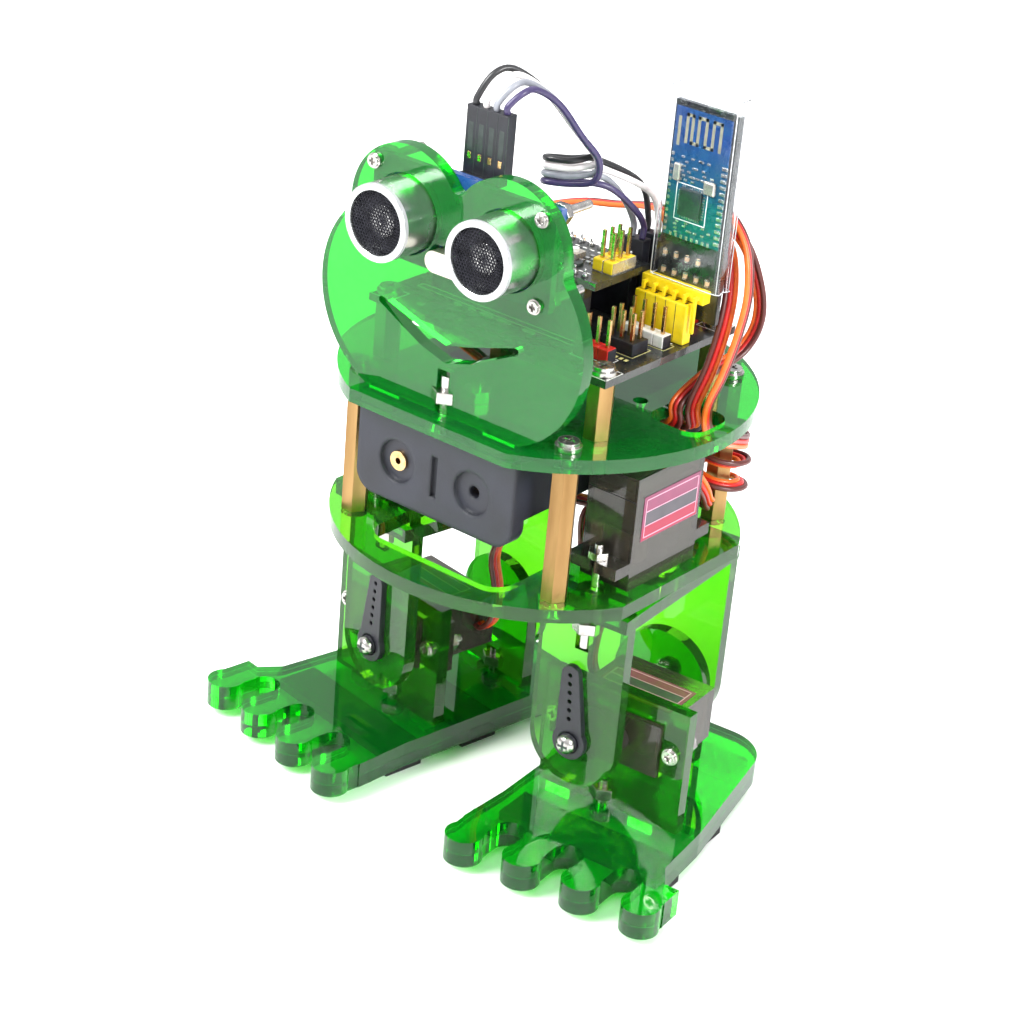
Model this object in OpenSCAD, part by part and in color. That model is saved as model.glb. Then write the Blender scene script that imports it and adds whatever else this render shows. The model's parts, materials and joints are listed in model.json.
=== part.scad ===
// Two-legged walking robot kit with a frog face: two round body plates on hex standoffs,
// hip servos that turn each leg about a vertical axis, and ankle servos that roll each foot.
// Millimetres. +Z is up, the face looks along -Y, +X is the robot's own left side.

/* [Feet] */
// Thickness of the rubber pads under each foot
pad_t = 2.2; // [1.8:0.1:3]
// Thickness of every acrylic plate
plate_t = 3; // [2.5:0.1:4]
// Distance between neighbouring toes
toe_pitch = 14; // [12:0.5:15]
// Height of the ankle axis above the underside of the foot
ankle_rise = 24.2; // [23:0.1:27]

/* [Body] */
// Radius of the two round body plates
body_r = 44; // [43:0.5:48]
// Half width of the waist plate across its flat sides
waist_half = 39; // [38:0.5:42]
// Length of the four body standoffs
standoff_l = 30; // [29:0.5:34]
// Length of the four shield standoffs
shield_gap = 12; // [10:0.5:14]

/* [Legs] */
// Sideways distance of each hip axis from the middle
hip_x = 29.6; // [29:0.1:31]
// Toe-out angle of the left leg at rest
yaw_l = 5.3; // [0:0.5:12]
// Toe-out angle of the right leg at rest
yaw_r = 9.2; // [0:0.1:12]

/* [Face] */
// Radius of the eye lobes
lobe_r = 14; // [13:0.25:15]
// Radius of the cheeks
cheek_r = 22; // [20:0.5:23]

/* [Hidden] */
foot_z = pad_t;
foot_top = foot_z + 2*plate_t;
ankle_z = foot_z + ankle_rise;
waist_z = ankle_z + 35;
waist_top = waist_z + plate_t;
hipp_z = waist_z - 1 - plate_t;
hipp_top = hipp_z + plate_t;
top_z = waist_top + standoff_l;
top_top = top_z + plate_t;
shield_z = top_top + shield_gap;
shield_top = shield_z + 1.6;
nano_z = shield_top + 11;
face_y = -34.5;
face_back = face_y + plate_t;
eye_z = top_top + 38.3;
eye_x = 12.8;
hip_y = 2.05;
ankle_u = -4;
ankle_v = -9.7;
tower = 3.6;
hip_servo_h = 25;
servo_holes = [-19.3, 8.7];
holder_y = 22;
ankle_tower = 4.2;
post_x = 27;
post_y = 27.7;
shield_x = 27.2;
shield_y = 19;
smooth = 72; round_n = 36; small_n = 24;

green = [0.10, 0.62, 0.08]; brass = [0.72, 0.55, 0.25]; steel = [0.75, 0.75, 0.75];
black = [0.06, 0.06, 0.07]; smoke = [0.25, 0.25, 0.24]; orange = [0.9, 0.3, 0.08];
blue = [0.08, 0.22, 0.55]; yellow = [0.9, 0.75, 0.05]; white = [0.9, 0.9, 0.88];

// ---------- shared shapes ----------
module disc(r, h, n = round_n) cylinder(r = r, h = h, $fn = n);
module hexagon(af, h) cylinder(r = af/2/cos(30), h = h, $fn = 6);

// pan screw standing on z=0 with its shank pointing down
module pan_screw(len, r = 1.45, head_r = 2.75, head_h = 1.8) {
  difference() {
    union() {
      disc(head_r, head_h*0.55);
      disc(head_r*0.82, head_h);
      translate([0, 0, -len]) disc(r, len + 0.2, small_n);
    }
    for (a = [0, 90]) rotate([0, 0, a])
      translate([-head_r*0.5, -0.3, head_h*0.4]) cube([head_r, 0.6, head_h]);
  }
}

// flat screw with its top face at z=0
module flat_screw(len, r = 1.45, head_r = 2.7, sink = 1.5) {
  difference() {
    union() {
      translate([0, 0, -sink]) cylinder(r1 = r, r2 = head_r, h = sink, $fn = round_n);
      translate([0, 0, -len]) disc(r, len - sink + 0.1, small_n);
    }
    for (a = [0, 90]) rotate([0, 0, a])
      translate([-head_r*0.5, -0.25, -0.6]) cube([head_r, 0.5, 1]);
  }
}

module sink_hole(r, head_r, sink, t) {
  translate([0, 0, -t - 1]) disc(r, t + 2, small_n);
  translate([0, 0, -sink]) cylinder(r1 = r, r2 = head_r, h = sink, $fn = round_n);
  disc(head_r, 1);
}

module nut(r = 1.45, af = 5.5, h = 2.4) {
  difference() {
    hexagon(af, h);
    translate([0, 0, -1]) disc(r, h + 2, small_n);
  }
}

// smooth route through a list of points, with n steps between neighbours
function bend(a, b, c, d, t) =
  (2*b + (c - a)*t + (2*a - 5*b + 4*c - d)*t*t + (3*b - a - 3*c + d)*t*t*t)/2;
function route(p, n) = [
  for (i = [0:len(p) - 2]) for (k = [0:n - 1])
    bend(p[max(i - 1, 0)], p[i], p[i + 1], p[min(i + 2, len(p) - 1)], k/n),
  p[len(p) - 1]];

function unit(v) = v/norm(v);
function heading(p, q, i) = i == 0 ? unit(p[1] - p[0])
  : i == len(q) - 1 ? unit(p[len(p) - 1] - p[len(p) - 2])
  : unit(q[i + 1] - q[i - 1]);
function sideways(h, i, last) = i == len(h) ? []
  : let (n = unit(last - (last*h[i])*h[i])) concat([n], sideways(h, i + 1, n));

// round cord swept along a route as one closed solid
module cord(p, r, n = 2, sides = 8) {
  q = route(p, n);
  h = [for (i = [0:len(q) - 1]) heading(p, q, i)];
  first = abs(h[0][2]) > 0.7 ? [1, 0, 0] : [0, 0, 1];
  w = sideways(h, 0, first);
  polyhedron(
    points = [for (i = [0:len(q) - 1]) for (k = [0:sides - 1])
      q[i] + r*(cos(360*k/sides)*w[i] + sin(360*k/sides)*cross(h[i], w[i]))],
    faces = concat(
      [[for (k = [0:sides - 1]) k]],
      [for (i = [0:len(q) - 2]) for (k = [0:sides - 1]) for (m = [0, 1])
        let (a = i*sides + k, b = i*sides + (k + 1)%sides)
        m == 0 ? [a, b + sides, b] : [a, a + sides, b + sides]],
      [[for (k = [sides - 1:-1:0]) (len(q) - 1)*sides + k]]));
}

module at_leg(side)
  translate([side*hip_x, hip_y, 0]) rotate([0, 0, side > 0 ? yaw_l : -yaw_r])
    mirror([side > 0 ? 0 : 1, 0, 0]) children();

module at_foot(side) at_leg(side) translate([ankle_u, ankle_v, 0]) children();

// a point given in foot coordinates, in body coordinates
function leg_pt(side, p) =
  let (t = side > 0 ? yaw_l : -yaw_r, x = (p[0] + ankle_u)*side, y = p[1] + ankle_v)
  [side*hip_x + cos(t)*x - sin(t)*y, hip_y + sin(t)*x + cos(t)*y, p[2]];

// ---------- servo: shaft up along z, case top at z=0, body towards +x ----------
module servo_case(rise, deep = 22.5) {
  difference() {
    union() {
      translate([-6.1, -6.1, -deep]) cube([22.8, 12.2, deep]);
      translate([-10.85, -6.1, -6.5]) cube([32.3, 12.2, 2.5]);
      disc(5.9, rise);
      translate([6.6, 0, 0]) disc(2.9, rise);
    }
    translate([-5, -5, 1.1 - deep]) cube([20.6, 10, deep - 14.3]);
    translate([-5, -5, -12.4]) cube([20.6, 10, 11.2]);
    translate([0, 0, -2]) disc(2.46, rise + 3);
    for (x = [-8.7, 19.3]) translate([x, 0, -7]) disc(1.1, 4, small_n);
    translate([-11, -0.5, -7]) cube([2.2, 1, 4]);
    translate([19.4, -0.5, -7]) cube([2.2, 1, 4]);
  }
}

// motor, gear spindles and control board inside the case
module servo_works() {
  translate([10.6, 0, -12.3]) disc(4.3, 8, round_n);
  translate([10.6, 0, -4.4]) disc(0.8, 2.4, small_n);
  translate([-4.6, -4.6, -14.8 - 6.4]) cube([19.8, 9.2, 1.2]);
  translate([-3.4, -2.6, -20.1]) cube([5.2, 5.2, 1.2]);
  translate([0, 0, -12.3]) disc(3.6, 4.2, round_n);
}

// toothed output wheel, shaft and single-arm horn; the plate it drives lies at [gap, gap+plate_t]
module servo_output(rise, gap, arm_dir) {
  difference() {
    union() {
      translate([0, 0, -7.4]) disc(4.5, 3, 28);
      translate([0, 0, -7.8]) disc(2.4, rise + 7.8 + 2.4);
      translate([0, 0, rise + gap]) disc(3.5, plate_t + 1.5);
      rotate([0, 0, arm_dir]) translate([0, 0, rise + gap + plate_t]) linear_extrude(1.5) {
        difference() {
          union() {
            circle(r = 3.9, $fn = round_n);
            polygon([[0, -3.4], [15.9, -2.1], [15.9, 2.1], [0, 3.4]]);
            translate([15.9, 0]) circle(r = 2.1, $fn = round_n);
          }
          for (i = [0:5]) translate([5.6 + i*2.05, 0]) circle(r = 0.5, $fn = 16);
        }
      }
    }
    translate([0, 0, rise + gap + plate_t + 0.9]) disc(2.5, 2);
  }
  translate([0, 0, rise + gap + plate_t + 0.9]) pan_screw(0.1, 1, 2.2, 1.6);
}

// ---------- body ----------
module body_outline() circle(r = body_r, $fn = smooth);

module rounded(w, d, r) {
  square([w - 2*r, d], center = true);
  square([w, d - 2*r], center = true);
  for (x = [-1, 1]) for (y = [-1, 1]) translate([x*(w/2 - r), y*(d/2 - r)]) circle(r = r, $fn = round_n);
}

module waist_plate() color(green) difference() {
  translate([0, 0, waist_z]) linear_extrude(plate_t) difference() {
    intersection() {
      body_outline();
      square([2*waist_half, 100], center = true);
    }
    translate([0, -2.2]) rounded(36, 64.4, 5);
    for (s = [-1, 1]) translate([s*hip_x, hip_y]) {
      circle(r = 6.2, $fn = round_n);
      translate([0, -6.6]) circle(r = 3.2, $fn = small_n);
      for (y = servo_holes) translate([0, y]) circle(r = 1.1, $fn = small_n);
    }
    for (x = [-1, 1]) for (y = [-1, 1]) translate([x*post_x, y*post_y]) circle(r = 1.55, $fn = small_n);
  }
  for (x = [-1, 1]) for (y = [-1, 1]) translate([x*post_x, y*post_y, waist_z])
    mirror([0, 0, 1]) sink_hole(1.55, 2.8, 1.5, 0.5);
  for (s = [-1, 1]) for (y = servo_holes) translate([s*hip_x, hip_y + y, waist_z])
    mirror([0, 0, 1]) sink_hole(1.1, 2, 1, 0.5);
}

module top_plate() color(green) difference() {
  translate([0, 0, top_z]) linear_extrude(plate_t) difference() {
    intersection() {
      body_outline();
      translate([-50, -39]) square([100, 100]);
    }
    for (s = [-1, 1]) {
      translate([s*33.7, 3]) rounded(13, 13, 4);
      translate([s*15, face_y + plate_t/2]) square([8.1, plate_t + 0.1], center = true);
      for (y = [-1, 1]) {
        translate([s*post_x, y*post_y]) circle(r = 1.55, $fn = small_n);
        translate([s*shield_x, y*shield_y]) circle(r = 1.55, $fn = small_n);
      }
      translate([s*22.4, 2]) circle(r = 1.6, $fn = small_n);
      translate([0, s*holder_y]) circle(r = 1.6, $fn = small_n);
    }
    translate([0, face_y + plate_t/2]) circle(r = 1.55, $fn = small_n);
  }
  translate([0, face_y + plate_t/2, top_z]) mirror([0, 0, 1]) sink_hole(1.55, 2.8, 1.5, 0.5);
}

module standoff(length) difference() {
  hexagon(5, length);
  for (z = [-1, length - 5]) translate([0, 0, z]) disc(1.42, 6, small_n);
}
module standoffs() color(brass) for (x = [-1, 1]) for (y = [-1, 1]) {
  translate([x*post_x, y*post_y, waist_top]) standoff(standoff_l);
  translate([x*shield_x, y*shield_y, top_top]) standoff(shield_gap);
}

module servo_screw() {
  mirror([0, 0, 1]) flat_screw(12.6, 0.95, 1.9, 1);
  translate([0, 0, plate_t + 6.5]) nut(0.95, 4, 1.6);
}
module sonar_screw() {
  rotate([90, 0, 0]) pan_screw(14, 0.9, 1.55, 1.1);
  translate([0, plate_t + 1.7, 0]) rotate([-90, 0, 0]) nut(0.95, 4, 1.6);
}
module body_screws() color(steel) {
  for (x = [-1, 1]) for (y = [-1, 1]) {
    translate([x*post_x, y*post_y, top_top]) pan_screw(plate_t + 4.5, 1.4);
    translate([x*post_x, y*post_y, waist_z]) mirror([0, 0, 1]) flat_screw(plate_t + 4.5, 1.4);
    translate([x*shield_x, y*shield_y, shield_top]) pan_screw(1.6 + 4.5, 1.4);
    translate([x*shield_x, y*shield_y, top_z]) mirror([0, 0, 1]) pan_screw(plate_t + 4.5, 1.4);
  }
  for (s = [-1, 1]) for (y = servo_holes) translate([s*hip_x, hip_y + y, waist_z]) servo_screw();
  for (s = [-1, 1]) for (z = [-1, 1]) translate([s*21, face_y, eye_z + z*8.7]) sonar_screw();
  translate([0, face_y + plate_t/2, 0]) {
    translate([0, 0, top_z]) mirror([0, 0, 1]) flat_screw(11, 1.4);
    translate([0, 0, top_top + 2.7]) rotate([0, 0, 90]) nut(1.4);
  }
  for (y = [-1, 1]) translate([0, y*holder_y, 0]) {
    translate([0, 0, top_z - 1.4]) mirror([0, 0, 1]) pan_screw(8.5, 1.4);
    translate([0, 0, top_top]) nut(1.4);
  }
}

cell_z = top_z - 10.8;
module battery_holder() color(black) difference() {
  union() {
    translate([-20.5, -35.2, top_z - 20]) cube([41, 4, 20]);
    translate([-20.5, 37.8, top_z - 20]) cube([41, 4, 20]);
    translate([-20.5, -35.2, top_z - 14]) cube([41, 77, 14]);
    translate([-0.8, -32, top_z - 6]) cube([1.6, 70, 5]);
  }
  translate([-19.3, -31.2, top_z - 21]) cube([38.6, 69, 19.6]);
  for (s = [-1, 1]) translate([s*9.84, -35.3, cell_z]) rotate([-90, 0, 0]) {
    disc(4.6, 1.1);
    disc(1.3, 5, small_n);
  }
  translate([-0.8, -35.3, cell_z - 4.5]) cube([1.6, 1.1, 9]);
  for (s = [-1, 1]) translate([s*20.5, -40, top_z - 20]) rotate([-90, 0, 0])
    difference() {
      translate([-4.5, -4.5, 0]) cube([9, 9, 90]);
      translate([-s*4.5, -4.5, -1]) disc(4.5, 92);
      translate([s > 0 ? -9.1 : 0, -9, -1]) cube([9.1, 4.5, 92]);
      translate([s > 0 ? -9.1 : 4.5, -9, -1]) cube([4.6, 9, 92]);
    }
  for (y = [-1, 1]) translate([0, y*holder_y, top_z - 7]) {
    disc(3.4, 5.6);
    disc(1.6, 8, small_n);
  }
}

module battery_cells() color([0.2, 0.45, 0.55]) for (s = [-1, 1])
  translate([s*9.84, 36.1, cell_z]) rotate([90, 0, 0]) {
    disc(9, 65);
    translate([0, 0, 65]) disc(3, 1.1);
  }

module battery_contacts() color([0.8, 0.55, 0.3]) {
  for (s = [-1, 1]) translate([s*9.84 - 4, -31.15, cell_z - 4]) cube([8, 0.6, 8]);
  for (s = [-1, 1]) translate([s*9.84 - 4, 37.1, cell_z - 4]) cube([8, 0.6, 8]);
  translate([-9.84, -34.9, cell_z]) rotate([-90, 0, 0]) difference() {
    union() { disc(2.1, 0.7); disc(1.25, 3.9, small_n); }
    translate([0, 0, -1]) disc(0.7, 6, small_n);
  }
}

module at_hip(s) translate([s*hip_x, hip_y, waist_top]) rotate([0, 0, -90]) rotate([180, 0, 0]) children();
module hip_servos() color(smoke) for (s = [-1, 1]) at_hip(s) servo_case(tower, hip_servo_h);
module hip_servo_works() color(steel) for (s = [-1, 1]) at_hip(s) servo_works();

// ---------- face ----------
// point where circles about a and b meet, on the left of the line from a to b
function meet(a, ra, b, rb) =
  let (d = norm(b - a), x = (d*d + ra*ra - rb*rb)/(2*d), y = sqrt(ra*ra - x*x), e = (b - a)/d)
  a + x*e + y*[-e[1], e[0]];

// concave fillet of radius rf between two discs
module fillet(a, ra, b, rb, rf) {
  c = meet(a, ra + rf, b, rb + rf);
  difference() {
    polygon([a, c, b]);
    translate(c) circle(r = rf, $fn = round_n);
  }
}

eye_h = eye_z - top_top;
lobe = [eye_x, eye_h];
cheek = [11.5, 20.3];
module face_outline() {
  difference() {
    union() {
      for (s = [0, 1]) mirror([s, 0]) {
        translate(lobe) circle(r = lobe_r, $fn = smooth);
        translate(cheek) circle(r = cheek_r, $fn = smooth);
        fillet(lobe, lobe_r, cheek, cheek_r, 5);
      }
      translate([-cheek[0], cheek[1] - cheek_r]) square([2*cheek[0], 2*cheek_r]);
      fillet([-lobe[0], lobe[1]], lobe_r, lobe, lobe_r, 1.9);
    }
    translate([-50, -50]) square([100, 50]);
  }
  for (s = [-1, 1]) translate([s*15 - 4, -plate_t]) square([8, plate_t + 0.1]);
}

smile_run = [[0, 12.85, 1.85], [6, 14.45, 1.72], [17.2, 19, 0.75]];
module smile() for (side = [0, 1], i = [0, 1]) mirror([side, 0]) hull()
  for (p = [smile_run[i], smile_run[i + 1]]) translate([p[0], p[1]]) circle(r = p[2], $fn = small_n);

module t_slot() {
  translate([-1.6, -0.1]) square([3.2, 9.5]);
  translate([-2.85, 2.6]) square([5.7, 2.6]);
}

module face_plate() color(green) translate([0, face_back, top_top]) rotate([90, 0, 0])
  linear_extrude(plate_t) difference() {
    face_outline();
    for (s = [-1, 1]) {
      translate([s*eye_x, eye_h]) circle(r = 8.25, $fn = smooth);
      for (z = [-1, 1]) translate([s*21, eye_h + z*8.7]) circle(r = 1.1, $fn = small_n);
    }
    translate([0, eye_h - 6.5]) rounded(12.2, 5.6, 2.7);
    smile();
    t_slot();
  }

// ---------- sonar ----------
module sonar_board() color(blue) translate([0, face_back + 1.7, eye_z]) rotate([90, 0, 0])
  linear_extrude(1.6) difference() {
    square([45.5, 20.5], center = true);
    for (s = [-1, 1]) for (z = [-1, 1]) translate([s*21, z*8.7]) circle(r = 1.1, $fn = small_n);
  }

module sonar_cans() color(steel) for (s = [-1, 1])
  translate([s*eye_x, face_back + 0.1, eye_z]) rotate([90, 0, 0]) difference() {
    disc(7.8, 11.7, smooth);
    translate([0, 0, 9.5]) disc(6.5, 3, smooth);
    translate([0, 0, 1]) disc(7.2, 8, smooth);
  }

module sonar_parts() color(steel) {
  translate([0, face_back + 0.1, eye_z - 6.5]) rotate([90, 0, 0]) linear_extrude(5.2) {
    square([6, 4.4], center = true);
    for (s = [-1, 1]) translate([s*3, 0]) circle(r = 2.2, $fn = small_n);
  }
  for (s = [-1, 1]) translate([s*11 - 3, face_back + 1.7, eye_z - 4]) cube([6, 1.5, 8]);
  for (s = [-1, 1]) translate([s*eye_x, face_back - 0.95, eye_z]) rotate([90, 0, 0]) disc(6.5, 6, 36);
}

module sonar_header() color(black) {
  translate([-5.1, face_back + 1.7, eye_z + 7]) cube([10.2, 2.5, 2.5]);
  for (i = [-1.5:1:1.5]) {
    translate([i*2.54 - 0.32, face_back + 4.2, eye_z + 8]) cube([0.64, 1.7, 0.64]);
    translate([i*2.54 - 0.32, face_back + 5.28, eye_z + 8]) cube([0.64, 0.64, 7]);
  }
}

plug_y = face_back + 5.6;
plug_z = eye_z + 8.9;
shield_plug_x = 11.15;
servo_row_x = 13.9;
plug_top = shield_top + 16.5;
module sonar_plugs() color(black) {
  difference() {
    translate([-5.1, plug_y - 1.27, plug_z]) cube([10.2, 2.54, 14]);
    for (i = [-1.5:1:1.5]) translate([i*2.54 - 0.45, plug_y - 0.45, plug_z - 1]) cube([0.9, 0.9, 8]);
  }
  for (y = plug_rows) translate([shield_plug_x - 2.55, y - 1.27, shield_top + 2.5])
    cube([5.1, 2.54, 14]);
}

lead_top = plug_z + 14;
plug_rows = [10.65, 15.7];
function sonar_path(i) = let (k = i - 1.5, y = plug_rows[i < 2 ? 1 : 0],
  x = shield_plug_x + (i%2 == 0 ? -1.27 : 1.27)) [
  [2.54*k, plug_y, lead_top], [2.54*k, plug_y, lead_top + 1.5],
  [2.54*k + 1.6, plug_y + 2.4, lead_top + 5 - 0.6*k],
  [2.6 + 2*k, -19.6, lead_top + 5.3 - 0.9*k], [5.6 + 1.6*k, -14.5 - 0.5*k, lead_top + 1.4 - 0.4*k],
  [8.6 + 1.3*k, -9.5 - 0.9*k, lead_top - 5.6], [11 + 1.25*k, -6 - k, lead_top - 10.6],
  [10.6 + 0.7*k, -5.2 - k, lead_top - 13.2 - 1.4*k], [6.8, -7.8, lead_top - 14.6 - 1.6*k],
  [2.2, -9.6, lead_top - 15 - 1.6*k], [0.4, -7.6, lead_top - 15.6 - 1.6*k],
  [3.2, -3.6, lead_top - 16 - 1.6*k], [7.4 + k, 1.6, lead_top - 16.6 - 1.6*k],
  [x - 0.6, y - 3.4, plug_top + 9 - 1.2*k], [x, y, plug_top + 3], [x, y, plug_top]];
module sonar_lead_black() color(black) cord(sonar_path(0), 0.65);
module sonar_lead_white() color(white) cord(sonar_path(1), 0.65);
module sonar_lead_grey() color([0.5, 0.5, 0.5]) cord(sonar_path(2), 0.65);
module sonar_lead_purple() color([0.35, 0.2, 0.5]) cord(sonar_path(3), 0.65);

// ---------- electronics ----------
module shield_board() color(black) translate([0, 0, shield_z]) linear_extrude(1.6) difference() {
  square([60.4, 44], center = true);
  for (x = [-1, 1]) for (y = [-1, 1]) translate([x*shield_x, y*shield_y]) circle(r = 1.55, $fn = small_n);
}

module shield_sockets() color(black) {
  for (s = [-1, 1]) translate([-24.6, s*7.62 - 1.25, shield_top]) cube([38.1, 2.5, 8.5]);
  translate([16.5, 4.4, shield_top]) cube([12.7, 2.6, 8.5]);
}

module pin_block(x, y, nx, ny, h = 2.5)
  translate([x, y, shield_top]) cube([nx*2.54, ny*2.54, h]);

module jumper_headers() color(black) {
  pin_block(17.6, -0.1, 4, 1);
  pin_block(18.4, -8.1, 3, 2);
  pin_block(17.3, -14.6, 3, 1);
  pin_block(servo_row_x, 12.5, 4, 3);
  pin_block(8.6, 9.4, 2, 1);
  pin_block(8.6, 14.43, 2, 1);
  pin_block(-22, 12.5, 6, 3);
}

module pins(x, y, nx, ny, z0, h)
  for (i = [0:nx - 1]) for (j = [0:ny - 1])
    translate([x + (i + 0.5)*2.54 - 0.32, y + (j + 0.5)*2.54 - 0.32, z0]) cube([0.64, 0.64, h]);

module header_pins() color(brass) {
  pins(17.6, -0.1, 4, 1, shield_top + 2.5, 6);
  pins(18.4, -8.1, 3, 2, shield_top + 2.5, 6);
  pins(17.3, -14.6, 3, 1, shield_top + 2.5, 6);
  pins(-22, 12.5, 6, 3, shield_top + 2.5, 6);
  pins(10.56, -2.91, 2, 3, nano_z + 4.1, 6);
}

module controller_board() color([0.1, 0.12, 0.16]) {
  translate([-27.1, -9, nano_z]) cube([43.2, 18, 1.6]);
  for (s = [-1, 1]) translate([-24.6, s*7.62 - 1.25, nano_z - 2.5]) cube([38.1, 2.5, 2.5]);
}

module controller_parts() color(steel) {
  translate([-28.6, -3.9, nano_z + 1.6]) cube([9.2, 7.8, 3.9]);
  translate([-9, -3.5, nano_z + 1.6]) cube([7, 7, 1]);
  translate([10.56, -2.91, nano_z + 1.6]) cube([5.08, 7.62, 2.5]);
  translate([2.2, -1.6, nano_z + 1.6]) difference() {
    cube([3.2, 3.2, 1.2]);
    translate([1.6, 1.6, 0.2]) disc(0.9, 2, small_n);
  }
}

module reset_button() color(white) translate([3.8, 0, nano_z + 2.2]) disc(0.82, 1.3, small_n);

strip_x = 24.05;
radio_x = 25.9;
radio_z = shield_top + 4.5;
module radio_board() color(blue) {
  translate([radio_x - 7.6, 8.9, radio_z]) cube([15.2, 1.2, 43.5]);
  translate([radio_x - 6.6, 8.1, radio_z + 16]) cube([13.2, 0.8, 26.6]);
  translate([radio_x - 3.4, 7.4, radio_z + 21]) cube([5, 0.7, 5.4]);
}

module radio_sleeve() color([0.85, 0.88, 0.9, 0.4]) translate([radio_x, 9.3, shield_top + 11.6])
  linear_extrude(39.6) difference() {
    rounded(16.4, 4.8, 1.2);
    rounded(15.8, 4.2, 0.9);
  }

module radio_header() color(yellow) {
  translate([strip_x - 7.62, 6.4, shield_top + 8.9]) cube([15.24, 2.5, 2.5]);
  for (i = [0:5]) translate([strip_x - 6.35 + i*2.54 - 0.32, 5.1, shield_top + 9.8]) {
    cube([0.64, 1.4, 0.64]);
    translate([0, 0, i < 5 ? -1.2 : -7]) cube([0.64, 0.64, i < 5 ? 1.3 : 7.1]);
  }
}

module servo_plugs() color(black) for (i = [0:3])
  translate([servo_row_x + 0.05 + i*2.54, 12.5, shield_top + 2.5]) cube([2.44, 7.6, 14]);

// ---------- servo leads ----------
lead_r = 1.2;
exit_z = waist_top + 18;
split = [-16, 15.5, 58.6];
gap = [0, 0, 0.4];
function above_plug(i) = [servo_row_x + 1.27 + 2.54*i, 16.3, plug_top + 2.4];
function plug_end(i) = [servo_row_x + 1.27 + 2.54*i, 16.3, plug_top];
coil_r = 5.2;
coil = [for (i = [0:22]) [post_x + coil_r*cos(-70 - 45*i), post_y + coil_r*sin(-70 - 45*i), 69.5 + 0.62*i]];
hip_l_route = concat([[29.6, 8.15, exit_z], [29.6, 10.2, exit_z], [29.8, 13.4, 80],
  [30.6, 17.4, 75], [29.8, 20.6, 71]], coil,
  [[33.4, 22, 86], [35.8, 13.4, 90], [36.4, 7.6, 92.8], [36.2, 6, 99], [37, 9, 106],
  [37.4, 12, 114], [37, 14.4, 122], [34.6, 16, 130], [31, 16.4, 134.8], [26.6, 16.6, 137], [21.6, 16.4, 135.2],
  above_plug(2), plug_end(2)]);
hip_r_route = [[-29.6, 8.15, exit_z], [-29.6, 10.2, exit_z], [-29.8, 14, 84], [-30.6, 15, 88],
  [-33, 10, 91.6], [-34, 6, 94], [-34, 5.4, 99], [-34.4, 12, 105], [-32.6, 20, 112],
  [-27, 25, 119], [-16, 25.6, 124], [-4, 24.6, 127], [4, 22.4, 129.6], [11.6, 18.6, 131.6],
  above_plug(0), plug_end(0)];
upper_l_route = concat([leg_pt(1, split + gap), leg_pt(1, split + [0, 0, 7])],
  [[11, 12, 69.2], [17.6, 17, 69.8], [22, 18.4, 74], [22, 17.6, 87], [24.4, 14, 90.8],
  [30, 8.6, 92.4], [33, 6.4, 94.6], [33, 5.6, 99], [33.8, 8.6, 106], [34, 11.4, 114],
  [33, 14, 121], [30.8, 15.8, 127.4], [27.8, 16.3, 131.6], [24.4, 16.3, 132.8], above_plug(3), plug_end(3)]);
upper_r_route = concat([leg_pt(-1, split + gap), leg_pt(-1, split + [0, 0, 7])],
  [[-4, 2.6, 68.6], [6, 1, 70.2], [15, 4, 70.6], [20.4, 10.6, 71.2], [22, 13.6, 75], [22, 13.4, 87],
  [24, 10, 90.6], [27.4, 6.2, 92.2], [29.8, 4.6, 95], [29.8, 4.6, 99], [30.6, 12.6, 103],
  [32.6, 21.6, 106.6], [33.6, 25, 113], [32, 25, 121], [28, 23, 129.4], [20.4, 19.4, 133.4],
  above_plug(1), plug_end(1)]);
ankle_route = [[-6.1, 17, ankle_z], [-8, 17, ankle_z], [-10.8, 17.3, ankle_z + 4],
  [-10.6, 17.6, ankle_z + 11], [-9, 17.4, ankle_z + 17.5], [-11, 16.8, ankle_z + 23.4],
  [-15, 15.9, ankle_z + 27.6], split - [0, 0, 2], split];
module hip_lead_l() color(orange) cord(hip_l_route, lead_r);
module hip_lead_r() color(orange) cord(hip_r_route, lead_r);
module upper_lead_l() color(orange) cord(upper_l_route, lead_r);
module upper_lead_r() color(orange) cord(upper_r_route, lead_r);

// ---------- leg (foot coordinates: u outwards, v back, origin on the ankle axis) ----------
front_v = -8.5;
rear_v = 30.8;
module hip_plate() color(green) difference() {
  translate([0, 0, hipp_z]) linear_extrude(plate_t) difference() {
    translate([-12, -12]) square([24, 46.2]);
    translate([-ankle_u, -ankle_v]) circle(r = 3.52, $fn = round_n);
    for (v = [front_v, rear_v]) translate([0, v + plate_t/2]) {
      for (s = [-1, 1]) translate([s*7.2, 0]) square([4.1, plate_t + 0.1], center = true);
      circle(r = 1.5, $fn = small_n);
    }
  }
  for (v = [front_v, rear_v]) translate([0, v + plate_t/2, hipp_top]) sink_hole(1.5, 2.8, 1.5, 0.5);
}

module hang_plate(half, v) translate([0, v + plate_t, ankle_z]) rotate([90, 0, 0])
  linear_extrude(plate_t) difference() {
    union() {
      circle(r = half, $fn = smooth);
      translate([-half, 0]) square([2*half, hipp_z - ankle_z]);
      for (s = [-1, 1]) translate([s*7.2 - 2, hipp_z - ankle_z - 0.1]) square([4, plate_t + 0.1]);
    }
    translate([0, hipp_z - ankle_z]) mirror([0, 1]) t_slot();
    children();
  }
module leg_front() color(green) hang_plate(10.5, front_v) circle(r = 3.52, $fn = round_n);
module leg_rear() color(green) hang_plate(12, rear_v) circle(r = 1.5, $fn = small_n);

module leg_horns() color(black) {
  translate([0, -1, ankle_z]) rotate([90, 0, 0]) servo_output(ankle_tower, 0.3, 94);
  translate([-ankle_u, -ankle_v, waist_top]) rotate([180, 0, 0])
    servo_output(tower, waist_top - hipp_top - tower, -90);
}

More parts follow.
